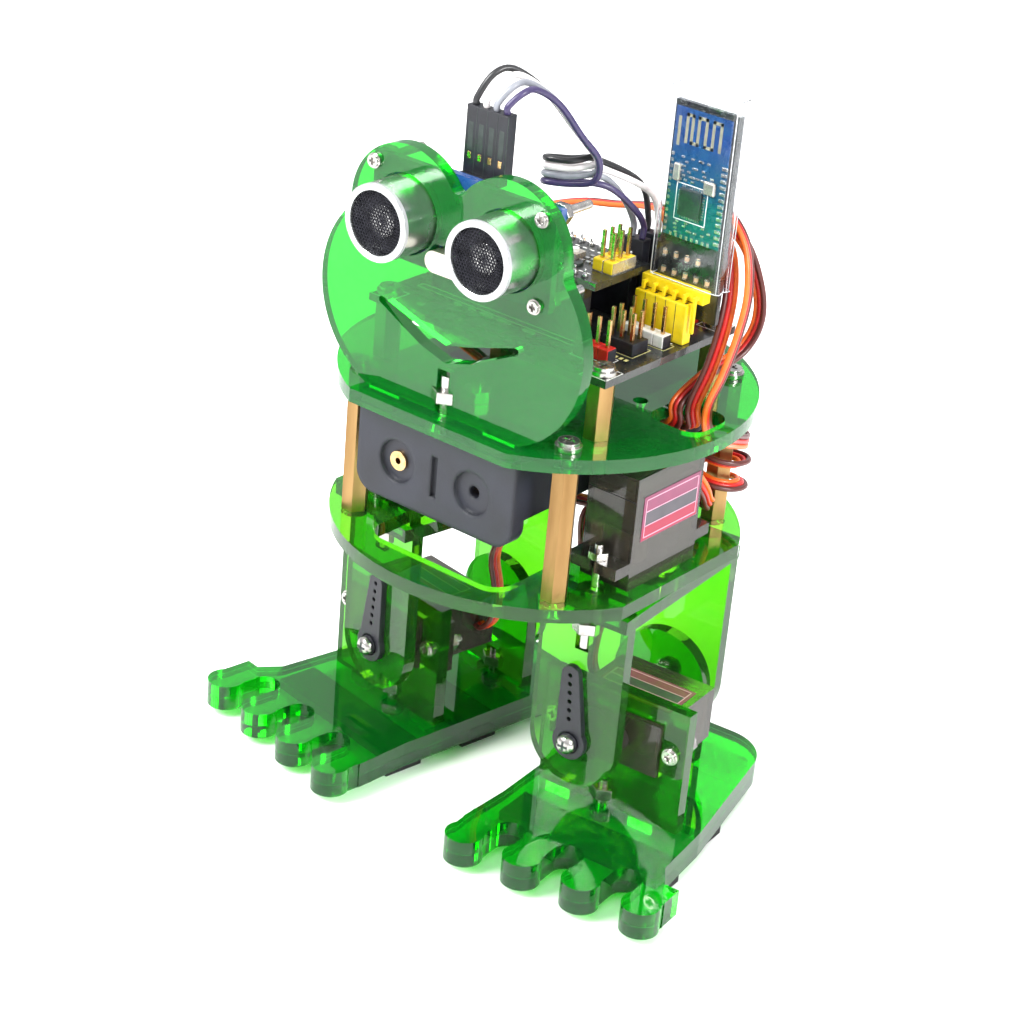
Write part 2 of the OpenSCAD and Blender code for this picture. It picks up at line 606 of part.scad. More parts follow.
module leg_fixings() color(steel) {
  for (v = [front_v, rear_v]) translate([0, v + plate_t/2, hipp_top]) {
    flat_screw(plate_t + 9, 1.4);
    translate([0, 0, -plate_t - 5.1]) rotate([0, 0, 90]) nut(1.4);
  }
  translate([0, rear_v + plate_t, ankle_z]) rotate([-90, 0, 0]) pan_screw(10.6, 1.4);
  translate([0, rear_v - plate_t - 0.6 - 2.4, ankle_z]) rotate([-90, 0, 0]) nut(1.4);
  translate([0, rear_v - plate_t - 0.6 - 2.9, ankle_z]) rotate([-90, 0, 0]) difference() {
    disc(3.4, 0.5);
    translate([0, 0, -1]) disc(1.4, 3, small_n);
  }
}

module ankle_lead() color(orange) cord(ankle_route, lead_r);

// ---------- foot ----------
toe_u = -11.8; toe_v = -28.6; toe_rise = 0.84;
module foot_outline() {
  difference() {
    union() {
      polygon([[-15.6, toe_v + 5], [-14.5, -10], [-14.5, 35.5], [-4.5, 45.5], [11, 45.5],
        [21.3, 37], [26.4, 4], [27.4, -12], [34, toe_v + 5.4]]);
      translate([-4.5, 35.5]) circle(r = 10, $fn = smooth);
      translate([11, 35]) circle(r = 10.5, $fn = smooth);
      for (i = [0:3]) translate([toe_u + i*toe_pitch, toe_v + i*toe_rise]) {
        circle(r = 4.2, $fn = round_n);
        translate([-3.6, 0]) square([7.2, 9]);
      }
    }
    for (i = [0:2]) translate([toe_u + (i + 0.5)*toe_pitch, toe_v + (i + 0.5)*toe_rise]) {
      translate([0, 6.2]) circle(r = 3.4, $fn = round_n);
      translate([-3.4, -8]) square([6.8, 14.2]);
    }
  }
  for (i = [0:3]) translate([toe_u + i*toe_pitch, toe_v + i*toe_rise]) circle(r = 4.2, $fn = round_n);
}
front_tabs = [-7, 14];
module foot_cuts() {
  for (u = front_tabs) translate([u, plate_t/2]) square([6.1, plate_t + 0.1], center = true);
  translate([3.6, plate_t/2]) circle(r = 1.5, $fn = small_n);
  for (s = [-1, 1]) translate([s*7, 27.5 + plate_t/2]) square([5.1, plate_t + 0.1], center = true);
  translate([0, 27.5 + plate_t/2]) circle(r = 1.5, $fn = small_n);
}
module foot_plates() color(green) for (k = [0, 1])
  translate([0, 0, foot_z + k*plate_t]) linear_extrude(plate_t - (1 - k)*0.05) difference() {
    foot_outline();
    foot_cuts();
  }

module foot_pads() color(black) {
  translate([-13, -13.5, 0]) cube([39.5, 10, pad_t]);
  translate([-13, 8.6, 0]) cube([37, 10, pad_t]);
  translate([-12.4, 32.8, 0]) cube([30, 8.4, pad_t]);
}

module ankle_plate() color(green) translate([0, plate_t, 0]) rotate([90, 0, 0])
  linear_extrude(plate_t) difference() {
    union() {
      translate([-12.1, foot_top]) square([34.8, 28.9]);
      for (u = front_tabs) translate([u - 3, foot_z]) square([6, 2*plate_t + 0.1]);
    }
    translate([-6.3, ankle_z - 6.4]) square([23.2, 12.8]);
    for (u = [-8.7, 19.3]) translate([u, ankle_z]) circle(r = 1.1, $fn = small_n);
    translate([3.6 - 1.6, foot_top - 0.1]) square([3.2, 6.2]);
    translate([3.6 - 2.85, foot_top + 1.4]) square([5.7, 2.6]);
  }

module heel_plate() color(green) translate([0, 27.5 + plate_t, 0]) rotate([90, 0, 0])
  linear_extrude(plate_t) difference() {
    union() {
      translate([0, ankle_z]) circle(r = 11, $fn = smooth);
      translate([-11, foot_top]) square([22, ankle_rise - 2*plate_t]);
      for (s = [-1, 1]) translate([s*7 - 2.5, foot_z]) square([5, 2*plate_t + 0.1]);
    }
    translate([0, ankle_z]) circle(r = 1.47, $fn = small_n);
    translate([-1.6, foot_top - 0.1]) square([3.2, 6.2]);
    translate([-2.85, foot_top + 1.4]) square([5.7, 2.6]);
  }

module at_ankle() translate([0, -1, ankle_z]) rotate([90, 0, 0]) children();
module ankle_servo() color(smoke) at_ankle() servo_case(ankle_tower);
module ankle_works() color(steel) at_ankle() servo_works();

module foot_fixings() color(steel) {
  for (p = [[3.6, plate_t/2], [0, 27.5 + plate_t/2]]) translate([p[0], p[1], foot_z]) {
    mirror([0, 0, 1]) pan_screw(11.4, 1.4);
    translate([0, 0, 2*plate_t + 1.5]) rotate([0, 0, 90]) nut(1.4);
  }
  for (u = [-8.7, 19.3]) translate([u, 0, ankle_z]) {
    rotate([90, 0, 0]) pan_screw(9, 0.95, 1.9, 1.3);
    translate([0, plate_t + 2.5, 0]) rotate([-90, 0, 0]) nut(0.95, 4, 1.6);
  }
}

module hip_plate_l() at_foot(1) hip_plate();
module leg_front_l() at_foot(1) leg_front();
module leg_rear_l() at_foot(1) leg_rear();
module leg_horns_l() at_foot(1) leg_horns();
module leg_fixings_l() at_foot(1) leg_fixings();
module ankle_lead_l() at_foot(1) ankle_lead();
module foot_plates_l() at_foot(1) foot_plates();
module foot_pads_l() at_foot(1) foot_pads();
module ankle_plate_l() at_foot(1) ankle_plate();
module heel_plate_l() at_foot(1) heel_plate();
module ankle_servo_l() at_foot(1) ankle_servo();
module ankle_works_l() at_foot(1) ankle_works();
module foot_fixings_l() at_foot(1) foot_fixings();
module hip_plate_r() at_foot(-1) hip_plate();
module leg_front_r() at_foot(-1) leg_front();
module leg_rear_r() at_foot(-1) leg_rear();
module leg_horns_r() at_foot(-1) leg_horns();
module leg_fixings_r() at_foot(-1) leg_fixings();
module ankle_lead_r() at_foot(-1) ankle_lead();
module foot_plates_r() at_foot(-1) foot_plates();
module foot_pads_r() at_foot(-1) foot_pads();
module ankle_plate_r() at_foot(-1) ankle_plate();
module heel_plate_r() at_foot(-1) heel_plate();
module ankle_servo_r() at_foot(-1) ankle_servo();
module ankle_works_r() at_foot(-1) ankle_works();
module foot_fixings_r() at_foot(-1) foot_fixings();

waist_plate();
top_plate();
standoffs();
body_screws();
battery_holder();
battery_cells();
battery_contacts();
hip_servos();
hip_servo_works();
face_plate();
sonar_board();
sonar_cans();
sonar_parts();
sonar_header();
sonar_plugs();
sonar_lead_black();
sonar_lead_white();
sonar_lead_grey();
sonar_lead_purple();
shield_board();
shield_sockets();
jumper_headers();
header_pins();
controller_board();
controller_parts();
reset_button();
radio_board();
radio_sleeve();
radio_header();
servo_plugs();
hip_lead_l();
hip_lead_r();
upper_lead_l();
upper_lead_r();
hip_plate_l();
leg_front_l();
leg_rear_l();
leg_horns_l();
leg_fixings_l();
ankle_lead_l();
foot_plates_l();
foot_pads_l();
ankle_plate_l();
heel_plate_l();
ankle_servo_l();
ankle_works_l();
foot_fixings_l();
hip_plate_r();
leg_front_r();
leg_rear_r();
leg_horns_r();
leg_fixings_r();
ankle_lead_r();
foot_plates_r();
foot_pads_r();
ankle_plate_r();
heel_plate_r();
ankle_servo_r();
ankle_works_r();
foot_fixings_r();
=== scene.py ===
"""Looks of the frog-faced walking robot kit: acrylic, brass, boards, servo leads, sonar eyes and radio."""
import json
import math
import random

import bmesh
import bpy
from mathutils import Matrix, Vector


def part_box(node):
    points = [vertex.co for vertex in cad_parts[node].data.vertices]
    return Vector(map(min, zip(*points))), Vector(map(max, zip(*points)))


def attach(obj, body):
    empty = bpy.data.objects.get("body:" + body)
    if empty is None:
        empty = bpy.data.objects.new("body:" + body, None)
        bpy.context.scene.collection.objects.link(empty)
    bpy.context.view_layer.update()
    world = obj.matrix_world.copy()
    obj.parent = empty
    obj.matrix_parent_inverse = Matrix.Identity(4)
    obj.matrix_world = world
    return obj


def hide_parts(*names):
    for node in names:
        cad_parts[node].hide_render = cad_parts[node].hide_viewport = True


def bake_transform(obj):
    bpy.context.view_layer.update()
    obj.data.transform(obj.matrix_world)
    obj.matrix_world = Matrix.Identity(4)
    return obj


MM = 0.001
PIN_PITCH = 2.54
SILK_RISE = 0.03
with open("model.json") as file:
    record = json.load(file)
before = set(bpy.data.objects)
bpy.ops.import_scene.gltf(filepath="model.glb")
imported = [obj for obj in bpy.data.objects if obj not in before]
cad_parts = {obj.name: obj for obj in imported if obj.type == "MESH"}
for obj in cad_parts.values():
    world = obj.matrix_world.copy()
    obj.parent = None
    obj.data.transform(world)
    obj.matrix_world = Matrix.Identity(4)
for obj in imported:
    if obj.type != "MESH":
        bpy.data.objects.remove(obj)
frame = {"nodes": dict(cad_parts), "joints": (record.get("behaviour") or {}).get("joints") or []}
nodes = frame["nodes"]
joints = {j["name"]: j for j in frame["joints"]}
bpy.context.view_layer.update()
random.seed(7)


# ---------- camera, light and floor ----------
AZIMUTH, ELEVATION, ROLL = 37.02, 26.29, 5.22
CAMERA_AT = Vector((0.29281, -0.39645, 0.30708))
LENS = 90.41
SENSOR_WIDTH = 36
PLATE_BOUNCES = 28
FLOOR_REACH = 3
STUDIO_MIDDLE = (0, 0, 0.08)


def make_camera():
    data = bpy.data.cameras.new("camera")
    data.lens, data.sensor_width = LENS, SENSOR_WIDTH
    data.clip_start = 0.01
    camera = bpy.data.objects.new("camera", data)
    bpy.context.scene.collection.objects.link(camera)
    a, e = math.radians(AZIMUTH), math.radians(ELEVATION)
    back = Vector((math.sin(a) * math.cos(e), -math.cos(a) * math.cos(e), math.sin(e)))
    right = Vector((math.cos(a), math.sin(a), 0))
    tilt = Matrix.Rotation(math.radians(ROLL), 4, "Z")
    turn = Matrix((right, back.cross(right), back)).transposed().to_4x4()
    camera.matrix_world = Matrix.Translation(CAMERA_AT) @ turn @ tilt
    bpy.context.scene.camera = camera


def make_light(name, at, size, power, mirrored=True):
    """A round soft light aimed at the middle of the object; mirrored=False hides it in reflections."""
    data = bpy.data.lights.new(name, "AREA")
    data.shape, data.size, data.energy = "DISK", size, power
    light = bpy.data.objects.new(name, data)
    bpy.context.scene.collection.objects.link(light)
    light.location = at
    light.visible_glossy = mirrored
    light.rotation_mode = "QUATERNION"
    light.rotation_quaternion = (Vector(STUDIO_MIDDLE) - Vector(at)).to_track_quat("-Z", "Y")


def make_studio():
    """Pale sky, three soft lights, a paper floor, and enough bounces to see through the stacked plates."""
    world = bpy.data.worlds.new("studio")
    bpy.context.scene.world = world
    world.use_nodes = True
    tree = world.node_tree
    background = tree.nodes["Background"]
    background.inputs["Strength"].default_value = 1.0
    place = tree.nodes.new("ShaderNodeTexCoord")
    split = tree.nodes.new("ShaderNodeSeparateXYZ")
    ramp = tree.nodes.new("ShaderNodeValToRGB")
    tree.links.new(place.outputs["Generated"], split.inputs["Vector"])
    tree.links.new(split.outputs["Z"], ramp.inputs["Fac"])
    tree.links.new(ramp.outputs["Color"], background.inputs["Color"])
    ramp.color_ramp.elements[0].color = (0.62, 0.64, 0.68, 1)
    ramp.color_ramp.elements[1].color = (1.3, 1.3, 1.3, 1)
    make_light("key", (-0.35, -0.7, 0.75), 0.45, 15)
    make_light("side", (0.8, -0.1, 0.5), 0.35, 8)
    make_light("rear", (-0.2, 0.8, 0.6), 0.5, 8, mirrored=False)
    scene = bpy.context.scene
    scene.view_settings.view_transform = "Standard"
    scene.cycles.max_bounces = PLATE_BOUNCES
    scene.cycles.transmission_bounces = PLATE_BOUNCES
    scene.cycles.transparent_max_bounces = PLATE_BOUNCES
    mesh = bpy.data.meshes.new("floor")
    corners = [(x * FLOOR_REACH, y * FLOOR_REACH, 0) for x, y in ((-1, -1), (1, -1), (1, 1), (-1, 1))]
    mesh.from_pydata(corners, [], [(0, 1, 2, 3)])
    floor = bpy.data.objects.new("floor", mesh)
    bpy.context.scene.collection.objects.link(floor)
    mesh.materials.append(surface("floor_paper", (0.9, 0.9, 0.9), (0.93, 0.93, 0.93), 40, 0.6))


# ---------- materials ----------
RAMP_ENDS = (0.3, 0.7)
SURFACE_BUMP_DEPTH = 0.0002
ACRYLIC_BUMP_DEPTH = 0.0005
ACRYLIC_DENSITY = 760


def noise_colour(tree, vector, scale, detail, dark, light):
    """Noise that drives the shader's base colour from dark to light. Returns the noise node."""
    noise = tree.nodes.new("ShaderNodeTexNoise")
    noise.inputs["Scale"].default_value = scale
    noise.inputs["Detail"].default_value = detail
    tree.links.new(vector, noise.inputs["Vector"])
    ramp = tree.nodes.new("ShaderNodeValToRGB")
    for element, position, colour in zip(ramp.color_ramp.elements, RAMP_ENDS, (dark, light)):
        element.position = position
        element.color = (*colour, 1)
    tree.links.new(noise.outputs["Fac"], ramp.inputs["Fac"])
    tree.links.new(ramp.outputs["Color"], tree.nodes["Principled BSDF"].inputs["Base Color"])
    return noise


def noise_roughness(tree, noise, smoothest, roughest, start=0.0):
    """Lets the noise drive the shader's roughness."""
    spread = tree.nodes.new("ShaderNodeMapRange")
    spread.inputs["From Min"].default_value = start
    spread.inputs["To Min"].default_value = smoothest
    spread.inputs["To Max"].default_value = roughest
    tree.links.new(noise.outputs["Fac"], spread.inputs["Value"])
    tree.links.new(spread.outputs["Result"], tree.nodes["Principled BSDF"].inputs["Roughness"])


def surface(name, dark, light, scale, rough, metallic=0.0, bump=0.0, bump_scale=None,
            rough_vary=0.08, stretch=(1, 1, 1), round_edge=0.0, coat=0.0):
    """A noise-varied opaque surface: colour from dark to light, roughness and bump from noise."""
    material = bpy.data.materials.new(name)
    material.use_nodes = True
    tree = material.node_tree
    shader = tree.nodes["Principled BSDF"]
    shader.inputs["Metallic"].default_value = metallic
    shader.inputs["Coat Weight"].default_value = coat
    place = tree.nodes.new("ShaderNodeTexCoord")
    mapping = tree.nodes.new("ShaderNodeMapping")
    mapping.inputs["Scale"].default_value = stretch
    tree.links.new(place.outputs["Object"], mapping.inputs["Vector"])
    noise = noise_colour(tree, mapping.outputs["Vector"], scale, 6, dark, light)
    noise_roughness(tree, noise, max(0.02, rough - rough_vary), rough + rough_vary)
    normal = None
    if round_edge:
        bevel = tree.nodes.new("ShaderNodeBevel")
        bevel.samples = 4
        bevel.inputs["Radius"].default_value = round_edge
        normal = bevel.outputs["Normal"]
    if bump:
        fine = tree.nodes.new("ShaderNodeTexNoise")
        fine.inputs["Scale"].default_value = bump_scale or scale * 4
        tree.links.new(mapping.outputs["Vector"], fine.inputs["Vector"])
        relief = tree.nodes.new("ShaderNodeBump")
        relief.inputs["Strength"].default_value = bump
        relief.inputs["Distance"].default_value = SURFACE_BUMP_DEPTH
        tree.links.new(fine.outputs["Fac"], relief.inputs["Height"])
        if normal:
            tree.links.new(normal, relief.inputs["Normal"])
        normal = relief.outputs["Normal"]
    if normal:
        tree.links.new(normal, shader.inputs["Normal"])
    return material


def clear(name, low, high, tint, density, rough, ior=1.49, transmission=1.0, ripple=0.02, gloss=0.5,
          lamp=(1, 1, 1)):
    """Clear plastic: a polished, slightly cloudy surface round an absorbing volume.

    Lamps shine straight through it, tinted by lamp, so that what stands behind a plate isn't black.
    """
    material = bpy.data.materials.new(name)
    material.use_nodes = True
    tree = material.node_tree
    shader = tree.nodes["Principled BSDF"]
    shader.inputs["Transmission Weight"].default_value = transmission
    shader.inputs["IOR"].default_value = ior
    shader.inputs["Specular IOR Level"].default_value = gloss
    place = tree.nodes.new("ShaderNodeTexCoord")
    flat = tree.nodes.new("ShaderNodeNewGeometry")
    noise = noise_colour(tree, place.outputs["Object"], 45, 5, low, high)
    noise_roughness(tree, noise, rough, rough + 0.04, start=0.45)
    relief = tree.nodes.new("ShaderNodeBump")
    relief.inputs["Strength"].default_value = ripple
    relief.inputs["Distance"].default_value = ACRYLIC_BUMP_DEPTH
    tree.links.new(noise.outputs["Fac"], relief.inputs["Height"])
    tree.links.new(flat.outputs["True Normal"], relief.inputs["Normal"])
    tree.links.new(relief.outputs["Normal"], shader.inputs["Normal"])
    lamps = tree.nodes.new("ShaderNodeBsdfTransparent")
    lamps.inputs["Color"].default_value = (*lamp, 1)
    rays = tree.nodes.new("ShaderNodeLightPath")
    mix = tree.nodes.new("ShaderNodeMixShader")
    tree.links.new(rays.outputs["Is Shadow Ray"], mix.inputs["Fac"])
    tree.links.new(shader.outputs["BSDF"], mix.inputs[1])
    tree.links.new(lamps.outputs["BSDF"], mix.inputs[2])
    end = tree.nodes["Material Output"]
    tree.links.new(mix.outputs["Shader"], end.inputs["Surface"])
    if density:
        absorb = tree.nodes.new("ShaderNodeVolumeAbsorption")
        absorb.inputs["Color"].default_value = (*tint, 1)
        absorb.inputs["Density"].default_value = density
        tree.links.new(absorb.outputs["Volume"], end.inputs["Volume"])
    return material


def circuit(name, mask, trace, scale):
    """Solder mask with lighter copper runs under it, in straight steps."""
    material = surface(name, mask, mask, 300, 0.28, bump=0.1, coat=0.4)
    tree = material.node_tree
    place = next(n for n in tree.nodes if n.type == "MAPPING")
    shader = tree.nodes["Principled BSDF"]
    bricks = tree.nodes.new("ShaderNodeTexBrick")
    bricks.inputs["Scale"].default_value = scale
    bricks.inputs["Color1"].default_value = (*mask, 1)
    bricks.inputs["Color2"].default_value = (*[c * 1.3 for c in mask], 1)
    bricks.inputs["Mortar"].default_value = (*trace, 1)
    bricks.inputs["Mortar Size"].default_value = 0.03
    warp = tree.nodes.new("ShaderNodeTexVoronoi")
    warp.distance = "MANHATTAN"
    warp.inputs["Scale"].default_value = scale * 0.6
    tree.links.new(place.outputs["Vector"], warp.inputs["Vector"])
    tree.links.new(warp.outputs["Position"], bricks.inputs["Vector"])
    mix = tree.nodes.new("ShaderNodeMix")
    mix.data_type = "RGBA"
    mix.inputs["Factor"].default_value = 0.5
    edges = tree.nodes.new("ShaderNodeValToRGB")
    edges.color_ramp.elements[0].color = (*trace, 1)
    edges.color_ramp.elements[1].color = (*mask, 1)
    edges.color_ramp.elements[1].position = 0.2
    tree.links.new(warp.outputs["Distance"], edges.inputs["Fac"])
    tree.links.new(bricks.outputs["Color"], mix.inputs["A"])
    tree.links.new(edges.outputs["Color"], mix.inputs["B"])
    tree.links.new(mix.outputs["Result"], shader.inputs["Base Color"])
    return material


def paint_light_by_height(material, low, high, z0, z1):
    """Painted light: lays a colour over a board that goes from low to high between two heights in metres.
    """
    tree = material.node_tree
    shader = tree.nodes["Principled BSDF"]
    under = shader.inputs["Base Color"].links[0].from_socket
    place = tree.nodes.new("ShaderNodeTexCoord")
    split = tree.nodes.new("ShaderNodeSeparateXYZ")
    spread = tree.nodes.new("ShaderNodeMapRange")
    ramp = tree.nodes.new("ShaderNodeValToRGB")
    mix = tree.nodes.new("ShaderNodeMix")
    mix.data_type = "RGBA"
    mix.inputs["Factor"].default_value = 0.7
    spread.inputs["From Min"].default_value = z0
    spread.inputs["From Max"].default_value = z1
    ramp.color_ramp.elements[0].color = (*low, 1)
    ramp.color_ramp.elements[1].color = (*high, 1)
    tree.links.new(place.outputs["Object"], split.inputs["Vector"])
    tree.links.new(split.outputs["Z"], spread.inputs["Value"])
    tree.links.new(spread.outputs["Result"], ramp.inputs["Fac"])
    tree.links.new(under, mix.inputs["A"])
    tree.links.new(ramp.outputs["Color"], mix.inputs["B"])
    tree.links.new(mix.outputs["Result"], shader.inputs["Base Color"])


def make_materials():
    """Every material, by the short name that the pieces use."""
    m = {}
    lamp = (0.5, 0.56, 0.5)
    m["acrylic"] = clear("green_acrylic", (0.012, 0.72, 0.09), (0.03, 0.8, 0.12), (0.35, 0.77, 0.05),
                         ACRYLIC_DENSITY, 0.0, transmission=0.91, gloss=0.14, lamp=lamp)
    m["acrylic_pale"] = clear("green_acrylic_pale", (0.1, 0.76, 0.08), (0.16, 0.86, 0.12),
                              (0.84, 0.8, 0.05), ACRYLIC_DENSITY, 0.0, transmission=0.955, gloss=0.2,
                              lamp=lamp)
    m["acrylic_foot"] = clear("green_acrylic_foot", (0.02, 0.7, 0.1), (0.05, 0.78, 0.13),
                              (0.55, 0.9, 0.15), ACRYLIC_DENSITY, 0.0, transmission=0.96, gloss=0.14,
                              lamp=lamp)
    m["smoke"] = clear("smoke_plastic", (0.24, 0.22, 0.18), (0.34, 0.31, 0.26), (0.45, 0.4, 0.3), 650,
                       0.05, 1.45, 0.88, lamp=(0.3, 0.28, 0.25))
    m["film"] = clear("clear_film", (0.84, 0.86, 0.88), (0.93, 0.95, 0.97), (1, 1, 1), 0, 0.02, 1.35,
                      1.0, 0.6)
    # painted highlight: a pale grey opaque surface for the light caught along the clear sleeve's edges
    m["painted_film_highlight"] = surface("painted_film_highlight", (0.5, 0.52, 0.55), (0.8, 0.82, 0.85), 300, 0.15)
    m["brass"] = surface("brass_bar", (0.2, 0.11, 0.04), (0.46, 0.29, 0.12), 130, 0.36, 1, 0.3, 900,
                         0.12, (1, 1, 0.15), 0.0002)
    m["nickel"] = surface("nickel_screw", (0.38, 0.36, 0.34), (0.62, 0.6, 0.57), 500, 0.24, 1, 0.15,
                          1500, 0.08, round_edge=0.0003)
    m["black"] = surface("black_plastic", (0.007, 0.007, 0.01), (0.017, 0.018, 0.025), 300, 0.4,
                         bump=0.12, bump_scale=2600, round_edge=0.0004)
    m["holder"] = surface("battery_holder_plastic", (0.008, 0.009, 0.014), (0.02, 0.022, 0.034), 90,
                          0.5, bump=0.16, bump_scale=3000, round_edge=0.0012)
    m["rubber"] = surface("black_rubber", (0.006, 0.006, 0.007), (0.016, 0.016, 0.017), 500, 0.8,
                          bump=0.5, bump_scale=1800)
    m["steel"] = surface("motor_steel", (0.3, 0.28, 0.22), (0.5, 0.46, 0.36), 200, 0.35, 0.9, 0.1)
    m["can"] = surface("can_aluminium", (0.45, 0.48, 0.47), (0.72, 0.74, 0.73), 120, 0.26, 0.95,
                       0.08, 400, 0.1, round_edge=0.0003)
    m["rim"] = surface("can_rim", (0.42, 0.41, 0.44), (0.54, 0.53, 0.56), 200, 0.35, 0.25, 0.05)
    m["mesh"] = surface("mesh_wire", (0.015, 0.015, 0.02), (0.06, 0.06, 0.075), 400, 0.35, 0.6)
    m["gold"] = surface("gold_pin", (0.5, 0.3, 0.12), (0.72, 0.5, 0.25), 900, 0.25, 1,
                        round_edge=0.0001)
    m["solder"] = surface("solder", (0.4, 0.4, 0.4), (0.7, 0.7, 0.68), 900, 0.22, 0.9, 0.2, 1500)
    m["yellow"] = surface("yellow_header", (0.75, 0.52, 0.0), (0.9, 0.68, 0.02), 400, 0.42,
                          bump=0.08, round_edge=0.0002)
    m["white"] = surface("white_header", (0.72, 0.7, 0.66), (0.85, 0.84, 0.8), 400, 0.45, bump=0.08,
                         round_edge=0.0002)
    m["red"] = surface("red_header", (0.55, 0.02, 0.015), (0.75, 0.05, 0.03), 400, 0.42, bump=0.08,
                       round_edge=0.0002)
    m["silk"] = surface("silk_white", (0.75, 0.75, 0.7), (0.9, 0.9, 0.86), 600, 0.5)
    m["silk_yellow"] = surface("silk_yellow", (0.6, 0.55, 0.2), (0.75, 0.7, 0.3), 600, 0.5)
    m["blue_pcb"] = circuit("blue_board", (0.012, 0.06, 0.22), (0.03, 0.12, 0.34), 320)
    m["radio_mask"] = circuit("radio_mask", (0.01, 0.06, 0.1), (0.02, 0.14, 0.16), 420)
    # painted light on the radio board: lighter and greener towards the bottom, darker and bluer towards the
    # top
    paint_light_by_height(m["radio_mask"], (0.006, 0.1, 0.09), (0.01, 0.03, 0.16), 0.135, 0.153)
    m["black_pcb"] = circuit("black_board", (0.01, 0.012, 0.012), (0.03, 0.034, 0.03), 260)
    m["chip"] = surface("chip", (0.012, 0.02, 0.018), (0.03, 0.045, 0.04), 500, 0.35, bump=0.1)
    m["crystal"] = surface("crystal_can", (0.55, 0.5, 0.42), (0.75, 0.7, 0.6), 300, 0.25, 0.8)
    m["tan"] = surface("capacitor_tan", (0.35, 0.22, 0.12), (0.55, 0.38, 0.22), 500, 0.5)
    m["antenna"] = surface("antenna_track", (0.24, 0.23, 0.16), (0.34, 0.32, 0.22), 500, 0.35, 0.3)
    m["label"] = surface("label_magenta", (0.2, 0.03, 0.085), (0.25, 0.04, 0.1), 260, 0.38)
    m["label_deep"] = surface("label_crimson", (0.3, 0.005, 0.035), (0.36, 0.01, 0.045), 260, 0.38)
    m["label_grey"] = surface("label_grey", (0.05, 0.045, 0.055), (0.08, 0.07, 0.085), 260, 0.4)
    m["label_line"] = surface("label_line", (0.62, 0.3, 0.4), (0.72, 0.38, 0.48), 260, 0.4)
    wires = {"orange": (0.85, 0.14, 0.015), "red": (0.6, 0.015, 0.012), "brown": (0.1, 0.018, 0.014),
             "grey_wire": (0.25, 0.26, 0.29), "purple_wire": (0.045, 0.032, 0.1),
             "white_wire": (0.78, 0.73, 0.72), "black_wire": (0.02, 0.02, 0.022)}
    for name, c in wires.items():
        m[name] = surface(name + "_sleeve", [v * 0.85 for v in c], [min(1, v * 1.15) for v in c], 500,
                          0.36, bump=0.06, coat=0.15)
    m["wrap"] = surface("cell_wrap", (0.02, 0.17, 0.22), (0.05, 0.25, 0.3), 150, 0.3, coat=0.3)
    return m


# ---------- mesh helpers ----------
SERVO_WIRE_RADIUS, SERVO_WIRE_PITCH = 0.58, 1.08
SONAR_WIRE_RADIUS = 0.68


def add_piece(name, bm, material, body, bevel=0.0, smooth=False):
    """Turns the mesh into a piece that rides on body, or on nothing yet if body is None."""
    bmesh.ops.recalc_face_normals(bm, faces=bm.faces)
    mesh = bpy.data.meshes.new(name)
    bm.to_mesh(mesh)
    bm.free()
    mesh.materials.append(material)
    if smooth:
        mesh.shade_smooth()
    piece = bpy.data.objects.new(name, mesh)
    bpy.context.scene.collection.objects.link(piece)
    if bevel:
        edge = piece.modifiers.new("bevel", "BEVEL")
        edge.width, edge.segments, edge.limit_method = bevel, 2, "ANGLE"
    if body:
        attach(piece, body)
    return piece


def blocks(name, boxes, material, body, bevel=0.0001, place=Matrix()):
    """One piece of many rounded blocks, each given by two opposite corners in mm."""
    bm = bmesh.new()
    for lo, hi in boxes:
        lo, hi = Vector(lo) * MM, Vector(hi) * MM
        size = [abs(hi[i] - lo[i]) for i in range(3)]
        where = place @ Matrix.Translation((lo + hi) / 2) @ Matrix.Diagonal((*size, 1))
        bmesh.ops.create_cube(bm, size=1, matrix=where)
    add_piece(name, bm, material, body, bevel)


def smooth_route(points, steps=6):
    """Catmull-Rom curve through the points."""
    p = [Vector(v) for v in points]
    out = []
    for i in range(len(p) - 1):
        a, b, c, d = p[max(i - 1, 0)], p[i], p[i + 1], p[min(i + 2, len(p) - 1)]
        for k in range(steps):
            t = k / steps
            out.append((2 * b + (c - a) * t + (2 * a - 5 * b + 4 * c - d) * t * t
                        + (3 * b - a - 3 * c + d) * t ** 3) / 2)
    return out + [p[-1]]


def carried_sides(path, first):
    """A sideways direction at each point of the path, carried along without twist."""
    sides, last = [], Vector(first)
    for i in range(len(path)):
        along = (path[min(i + 1, len(path) - 1)] - path[max(i - 1, 0)]).normalized()
        last = (last - along * last.dot(along)).normalized()
        sides.append((along, last.copy()))
    return sides


def tube_into(bm, path, sides, radius, offset=0.0, around=12):
    """A closed tube along the path, moved sideways by offset, in mm."""
    rings = []
    for point, (along, side) in zip(path, sides):
        up = along.cross(side)
        middle = point + side * offset
        turn = [2 * math.pi * k / around for k in range(around)]
        rings.append([bm.verts.new((middle + (side * math.cos(t) + up * math.sin(t)) * radius) * MM)
                      for t in turn])
    for one, two in zip(rings, rings[1:]):
        for k in range(around):
            bm.faces.new((one[k], one[(k + 1) % around], two[(k + 1) % around], two[k]))
    bm.faces.new(rings[0])
    bm.faces.new(rings[-1][::-1])


def wire(name, points, radius, material, body, node, offset=0.0, first=(1, 0, 0)):
    """One round wire along the route, standing for a CAD node."""
    path = smooth_route(points)
    bm = bmesh.new()
    tube_into(bm, path, carried_sides(path, first), radius, offset)
    piece = add_piece(name, bm, material, body, smooth=True)
    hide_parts(node)
    return piece


def ribbon(name, points, body, node, first=(1, 0, 0), blend=None):
    """A three-wire servo lead: brown, red and orange side by side."""
    for k, colour in enumerate(("brown", "red", "orange")):
        piece = wire(f"{name}_{colour}", points, SERVO_WIRE_RADIUS, M[colour], body, node,
                     (k - 1) * SERVO_WIRE_PITCH, first)
        if blend:
            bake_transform(piece)


